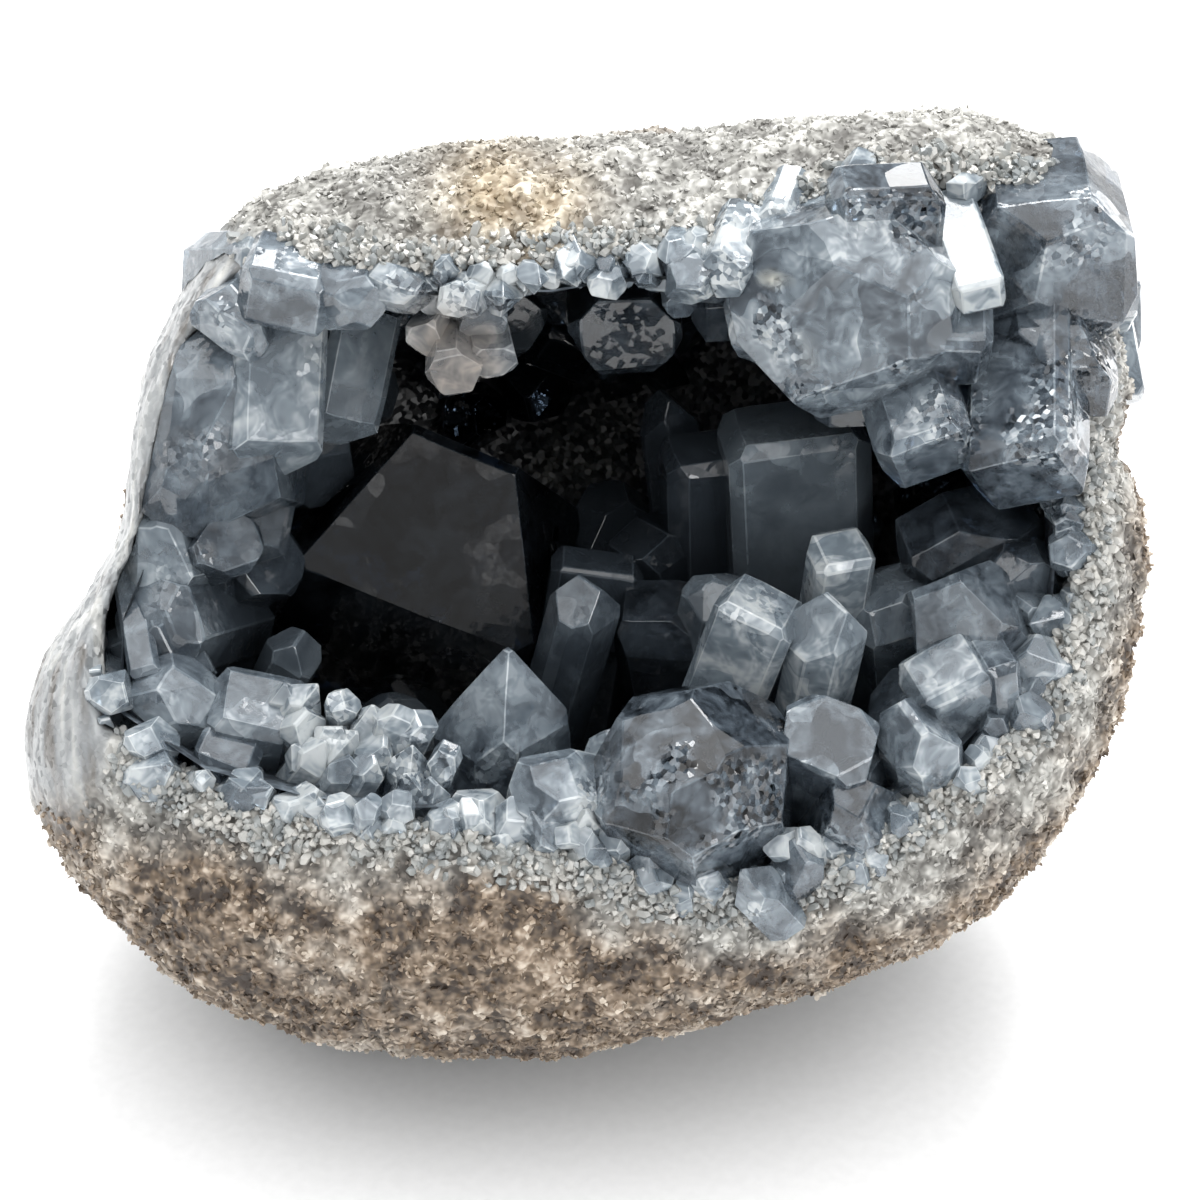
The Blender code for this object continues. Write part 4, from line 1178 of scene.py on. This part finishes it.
def roughen(rock, sizes):
    """Moves the rock's surface in and out by nodes: lumps, knobs and sugary crumbs."""
    tree = bpy.data.node_groups.new("weathered_relief", "GeometryNodeTree")
    tree.interface.new_socket("Geometry", in_out="INPUT", socket_type="NodeSocketGeometry")
    depth = tree.interface.new_socket("Relief", in_out="INPUT", socket_type="NodeSocketFloat")
    tree.interface.new_socket("Geometry", in_out="OUTPUT", socket_type="NodeSocketGeometry")
    entry = add_node(tree, "NodeGroupInput")
    place = add_node(tree, "GeometryNodeInputPosition").outputs[0]
    normal = add_node(tree, "GeometryNodeInputNormal").outputs["Normal"]
    knobs = add_node(tree, "ShaderNodeTexNoise", {
        "Vector": place, "Scale": per_mm(6), "Detail": 4.0, "Roughness": 0.62,
    }).outputs["Fac"]
    pits = add_node(tree, "ShaderNodeTexVoronoi", {
        "Vector": place, "Scale": per_mm(3.4), "Randomness": 1.0,
    }).outputs["Distance"]
    height = add_node(tree, "ShaderNodeMath", {0: pits, 1: -0.45, 2: knobs}, operation="MULTIPLY_ADD").outputs[0]
    height = add_node(tree, "ShaderNodeMath", {0: height, 1: 0.32}, operation="SUBTRACT").outputs[0]
    frosted = add_node(tree, "GeometryNodeInputNamedAttribute", {"Name": "frost"}, data_type="FLOAT").outputs[0]
    smooth = add_node(tree, "ShaderNodeMath", {0: frosted, 1: -0.7, 2: 1.0}, operation="MULTIPLY_ADD").outputs[0]
    height = add_node(tree, "ShaderNodeMath", {0: height, 1: smooth}, operation="MULTIPLY").outputs[0]
    # The relief is kept as an attribute, from which the rock's colour paints shade into the pits
    kept = add_node(tree, "GeometryNodeStoreNamedAttribute", {
        "Geometry": entry.outputs["Geometry"], "Name": "height", "Value": height,
    }, data_type="FLOAT", domain="POINT").outputs[0]
    height = add_node(tree, "ShaderNodeMath", {0: height, 1: entry.outputs["Relief"]}, operation="MULTIPLY")
    move = add_node(tree, "ShaderNodeVectorMath", {0: normal, "Scale": height.outputs[0]}, operation="SCALE")
    moved = add_node(tree, "GeometryNodeSetPosition", {"Geometry": kept, "Offset": move.outputs["Vector"]})
    add_node(tree, "NodeGroupOutput", {"Geometry": moved.outputs["Geometry"]})
    modifier = rock.modifiers.new("relief", "NODES")
    modifier.node_group = tree
    modifier[depth.identifier] = sizes.relief
    apply_modifiers(rock)


class GrainsOperator(bpy.types.Operator):
    """Strews sugary grains over the outside of the rock."""

    bl_idname = "geode.grains"
    bl_label = "Sugary grains"

    def execute(self, context):
        sizes = context.scene.geode_rock
        surface = bpy.data.objects["granular_rock"].data
        shapes = grain_shapes(GRAIN_KINDS, random.Random(SEED + 3))
        material = rock_material("loose_grains", GRAIN_PALE_STOPS, GRAIN_STAINED_STOPS, loose=True)
        for number in range(3):
            grains = strewn(
                f"sugary_grains_{number + 1}", surface, material, Density=sizes.density / 3, Tilt=math.pi,
                Least_size=sizes.grain_least, Most_size=sizes.grain_most, Seed=number, Shapes=shapes,
            )
            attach(grains, "root")
        clear_shapes(shapes)
        return {"FINISHED"}


class DruseOperator(bpy.types.Operator):
    """Grows small pointed crystals in a band along the rim."""

    bl_idname = "geode.druse"
    bl_label = "Druse along the rim"

    def execute(self, context):
        sizes = context.scene.geode_rock
        surface = bpy.data.objects["granular_rock"].data.copy()
        points = np.zeros(len(surface.vertices) * 3)
        surface.vertices.foreach_get("co", points)
        points = points.reshape(-1, 3)
        nearest = np.full(len(points), 1e9)
        for place in rim_polyline():
            nearest = np.minimum(nearest, np.linalg.norm(points - place, axis=1))
        frosted = frost(*face_coordinates(points))
        cover = np.clip(1.5 - nearest / MM / sizes.druse_band, 0, 1) * np.clip(1 - 1.3 * frosted, 0, 1)
        surface.attributes["cover"].data.foreach_set("value", cover)
        shapes = needle_shapes(GRAIN_KINDS, random.Random(SEED + 4))
        druse = strewn(
            "rim_druse", surface, bpy.data.materials["frosted_druse"], Density=sizes.druse_density, Tilt=0.9,
            Least_size=sizes.druse_least, Most_size=sizes.druse_most, Seed=5, Shapes=shapes,
        )
        clear_shapes(shapes)
        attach(druse, "root")
        return {"FINISHED"}


class CrystalsOperator(bpy.types.Operator):
    """Grows the crystals and the lining they stand on, as one solid."""

    bl_idname = "geode.crystals"
    bl_label = "Celestite crystals"

    def execute(self, context):
        sizes = context.scene.geode_crystals
        shapes = crystal_shapes(sizes)
        crystals = new_piece("celestite_crystals", lining_mesh(), celestite_material())
        union = crystals.modifiers.new("union", "BOOLEAN")
        union.operation = "UNION"
        union.solver = "MANIFOLD"
        union.operand_type = "COLLECTION"
        union.collection = shapes
        rock = bpy.data.objects.new("rock_copy", merged_copy(ROCK_NODE, "rock_copy"))
        context.scene.collection.objects.link(rock)
        trim = crystals.modifiers.new("trim", "BOOLEAN")
        trim.operation = "DIFFERENCE"
        trim.solver = "MANIFOLD"
        trim.object = rock
        apply_modifiers(crystals)
        bpy.data.objects.remove(rock)
        clear_shapes(shapes)
        keep_largest(crystals.data)
        frosted_druse_material()
        grow_side_crystals(crystals.data.materials[0], sizes)
        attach(crystals, "root")
        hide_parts("crystal_crust")
        return {"FINISHED"}


def grow_side_crystals(material, sizes):
    """The crystals that stand on the outside of the rock, as one piece."""
    finish = random.Random(SEED + 6)
    drawn = bmesh.new()
    for crystal in SIDE_CRYSTALS:
        lean = math.radians(crystal.lean)
        tip = sight_place(crystal.across, crystal.up, crystal.out)
        side = Vector((-math.sin(lean), math.cos(lean), 0))
        pose = crystal_pose(tip, direction_of(crystal.lean, crystal.towards), side, crystal.roll)
        one = bmesh.new()
        grown = Grown(pose, crystal.width, crystal.thickness, crystal.longest, FORMS[crystal.form])
        draw_crystal(one, grown, finish, finish, sizes.chamfer_most)
        bmesh.ops.transform(one, matrix=FACE_TO_WORLD @ pose, verts=one.verts)
        bmesh.ops.recalc_face_normals(one, faces=one.faces)
        mesh = bpy.data.meshes.new("one")
        one.to_mesh(mesh)
        one.free()
        drawn.from_mesh(mesh)
        bpy.data.meshes.remove(mesh)
    mesh = bpy.data.meshes.new("side_crystals")
    drawn.to_mesh(mesh)
    drawn.free()
    store_face_tone(mesh, [0.5] * len(mesh.polygons))
    outside = mesh.attributes.new("outside", "FLOAT", "FACE")
    outside.data.foreach_set("value", [0.9] * len(mesh.polygons))
    side_crystals = new_piece("side_crystals", mesh, material)
    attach(side_crystals, "root")


class StageOperator(bpy.types.Operator):
    """Sets the pale floor, the lights and the camera."""

    bl_idname = "geode.stage"
    bl_label = "Stage"

    def execute(self, context):
        mesh = bpy.data.meshes.new("floor")
        drawn = bmesh.new()
        bmesh.ops.create_circle(
            drawn, cap_ends=True, segments=96, radius=4.0, matrix=Matrix.Translation((0, 0, -0.0002))
        )
        drawn.to_mesh(mesh)
        drawn.free()
        material = blank_material("white_paper")
        tree = material.node_tree
        place = add_node(tree, "ShaderNodeTexCoord").outputs["Object"]
        fibres = add_node(tree, "ShaderNodeTexNoise", {"Vector": place, "Scale": per_mm(2)}).outputs["Fac"]
        colour = ramp(tree, fibres, (0.3, "#F4F4F4"), (0.7, "#F8F8F8"))
        shader = add_node(tree, "ShaderNodeBsdfPrincipled", {"Base Color": colour, "Roughness": 0.9})
        add_node(tree, "ShaderNodeOutputMaterial", {"Surface": shader.outputs["BSDF"]})
        floor = new_piece("floor", mesh, material)
        world = bpy.data.worlds.new("white_room")
        world.use_nodes = True
        tree = world.node_tree
        way = add_node(tree, "ShaderNodeTexCoord").outputs["Generated"]
        rise = add_node(tree, "ShaderNodeSeparateXYZ", {"Vector": way}).outputs["Z"]
        sky = add_node(tree, "ShaderNodeMapRange", {
            "Value": rise, "From Min": 0.45, "From Max": 0.92, "To Min": 0.45, "To Max": 2.6,
        }, interpolation_type="SMOOTHSTEP").outputs["Result"]
        horizon = add_node(tree, "ShaderNodeMapRange", {
            "Value": rise, "From Min": 0.05, "From Max": 0.25, "To Min": 0.65, "To Max": 0.0,
        }).outputs["Result"]
        sky = add_node(tree, "ShaderNodeMath", {0: sky, 1: horizon}, operation="ADD").outputs[0]
        background = tree.nodes["Background"]
        background.inputs["Color"].default_value = (1.0, 1.0, 1.0, 1.0)
        tree.links.new(sky, background.inputs["Strength"])
        context.scene.world = world
        lamps = (
            ("overhead", (0.1, 0.45, 0.75), 0.5, 7.0),
            ("front_right", (0.7, -0.9, 0.6), 0.5, 5.0),
        )
        for name, place, size, power in lamps:
            lamp = bpy.data.lights.new(name, "AREA")
            lamp.size = size
            lamp.energy = power
            stand = bpy.data.objects.new(name, lamp)
            stand.location = place
            aim = Vector((0, 0, 0.07)) - Vector(place)
            stand.rotation_euler = aim.to_track_quat("-Z", "Y").to_euler()
            context.scene.collection.objects.link(stand)
        lens = bpy.data.cameras.new("camera")
        lens.lens = SENSOR_WIDTH * SIGHT_DISTANCE / PHOTO_WIDTH
        lens.sensor_width = SENSOR_WIDTH
        lens.clip_start = 0.01
        camera = bpy.data.objects.new("camera", lens)
        camera.matrix_world = Matrix.Translation(upright(Vector((0, 0, SIGHT_DISTANCE)))) @ Matrix((
            turned(Vector((1, 0, 0))), turned(Vector((0, 1, 0))), turned(Vector((0, 0, 1))),
        )).transposed().to_4x4()
        context.scene.collection.objects.link(camera)
        context.scene.camera = camera
        context.scene.view_settings.view_transform = "Standard"
        light_paths = context.scene.cycles
        light_paths.max_bounces = 4
        light_paths.diffuse_bounces = 1
        light_paths.glossy_bounces = 2
        light_paths.transmission_bounces = 3
        light_paths.caustics_reflective = False
        return {"FINISHED"}


class GeodeRock(bpy.types.PropertyGroup):
    """Sizes of the rock's surface."""

    voxel: FloatProperty(
        name="Mesh size", description="Size of the rock's mesh cells", default=0.00125, unit="LENGTH"
    )
    relief: FloatProperty(
        name="Relief", description="How deep the rock's knobs and pits are", default=0.004, unit="LENGTH"
    )
    density: FloatProperty(
        name="Grains", description="Sugary grains to a square metre", default=600000.0
    )
    grain_least: FloatProperty(
        name="Least grain", description="Size of the smallest grains", default=0.0008, unit="LENGTH"
    )
    grain_most: FloatProperty(
        name="Most grain", description="Size of the largest grains", default=0.0019, unit="LENGTH"
    )
    druse_density: FloatProperty(
        name="Druse", description="Druse crystals to a square metre", default=1300000.0
    )
    druse_band: FloatProperty(
        name="Druse band", description="How far the druse reaches from the rim, in millimetres", default=5.0
    )
    druse_least: FloatProperty(
        name="Least druse", description="Size of the smallest druse crystals", default=0.0009, unit="LENGTH"
    )
    druse_most: FloatProperty(
        name="Most druse", description="Size of the largest druse crystals", default=0.0021, unit="LENGTH"
    )


class GeodeCrystals(bpy.types.PropertyGroup):
    """Sizes of the crystals' finish."""

    chamfer_least: FloatProperty(
        name="Least edge", description="Least depth taken off a crystal's edges, in millimetres", default=0.03
    )
    chamfer_most: FloatProperty(
        name="Most edge", description="Most depth taken off a crystal's edges, in millimetres", default=0.1
    )


class GeodePanel(bpy.types.Panel):
    """Lists the geode's pieces in the sidebar."""

    bl_idname = "VIEW3D_PT_geode"
    bl_label = "Geode"
    bl_space_type = "VIEW_3D"
    bl_region_type = "UI"
    bl_category = "Geode"

    def draw(self, context):
        for operator in OPERATORS:
            self.layout.operator(operator.bl_idname)


OPERATORS = (StageOperator, RockOperator, GrainsOperator, CrystalsOperator, DruseOperator)
CLASSES = (GeodeRock, GeodeCrystals, *OPERATORS, GeodePanel)


def register():
    for each in CLASSES:
        bpy.utils.register_class(each)
    bpy.types.Scene.geode_rock = PointerProperty(type=GeodeRock)
    bpy.types.Scene.geode_crystals = PointerProperty(type=GeodeCrystals)


def unregister():
    del bpy.types.Scene.geode_crystals
    del bpy.types.Scene.geode_rock
    for each in reversed(CLASSES):
        bpy.utils.unregister_class(each)


def main():
    register()
    bpy.ops.geode.stage()
    bpy.ops.geode.rock()
    bpy.ops.geode.grains()
    bpy.ops.geode.crystals()
    bpy.ops.geode.druse()


if __name__ == "__main__":
    main()
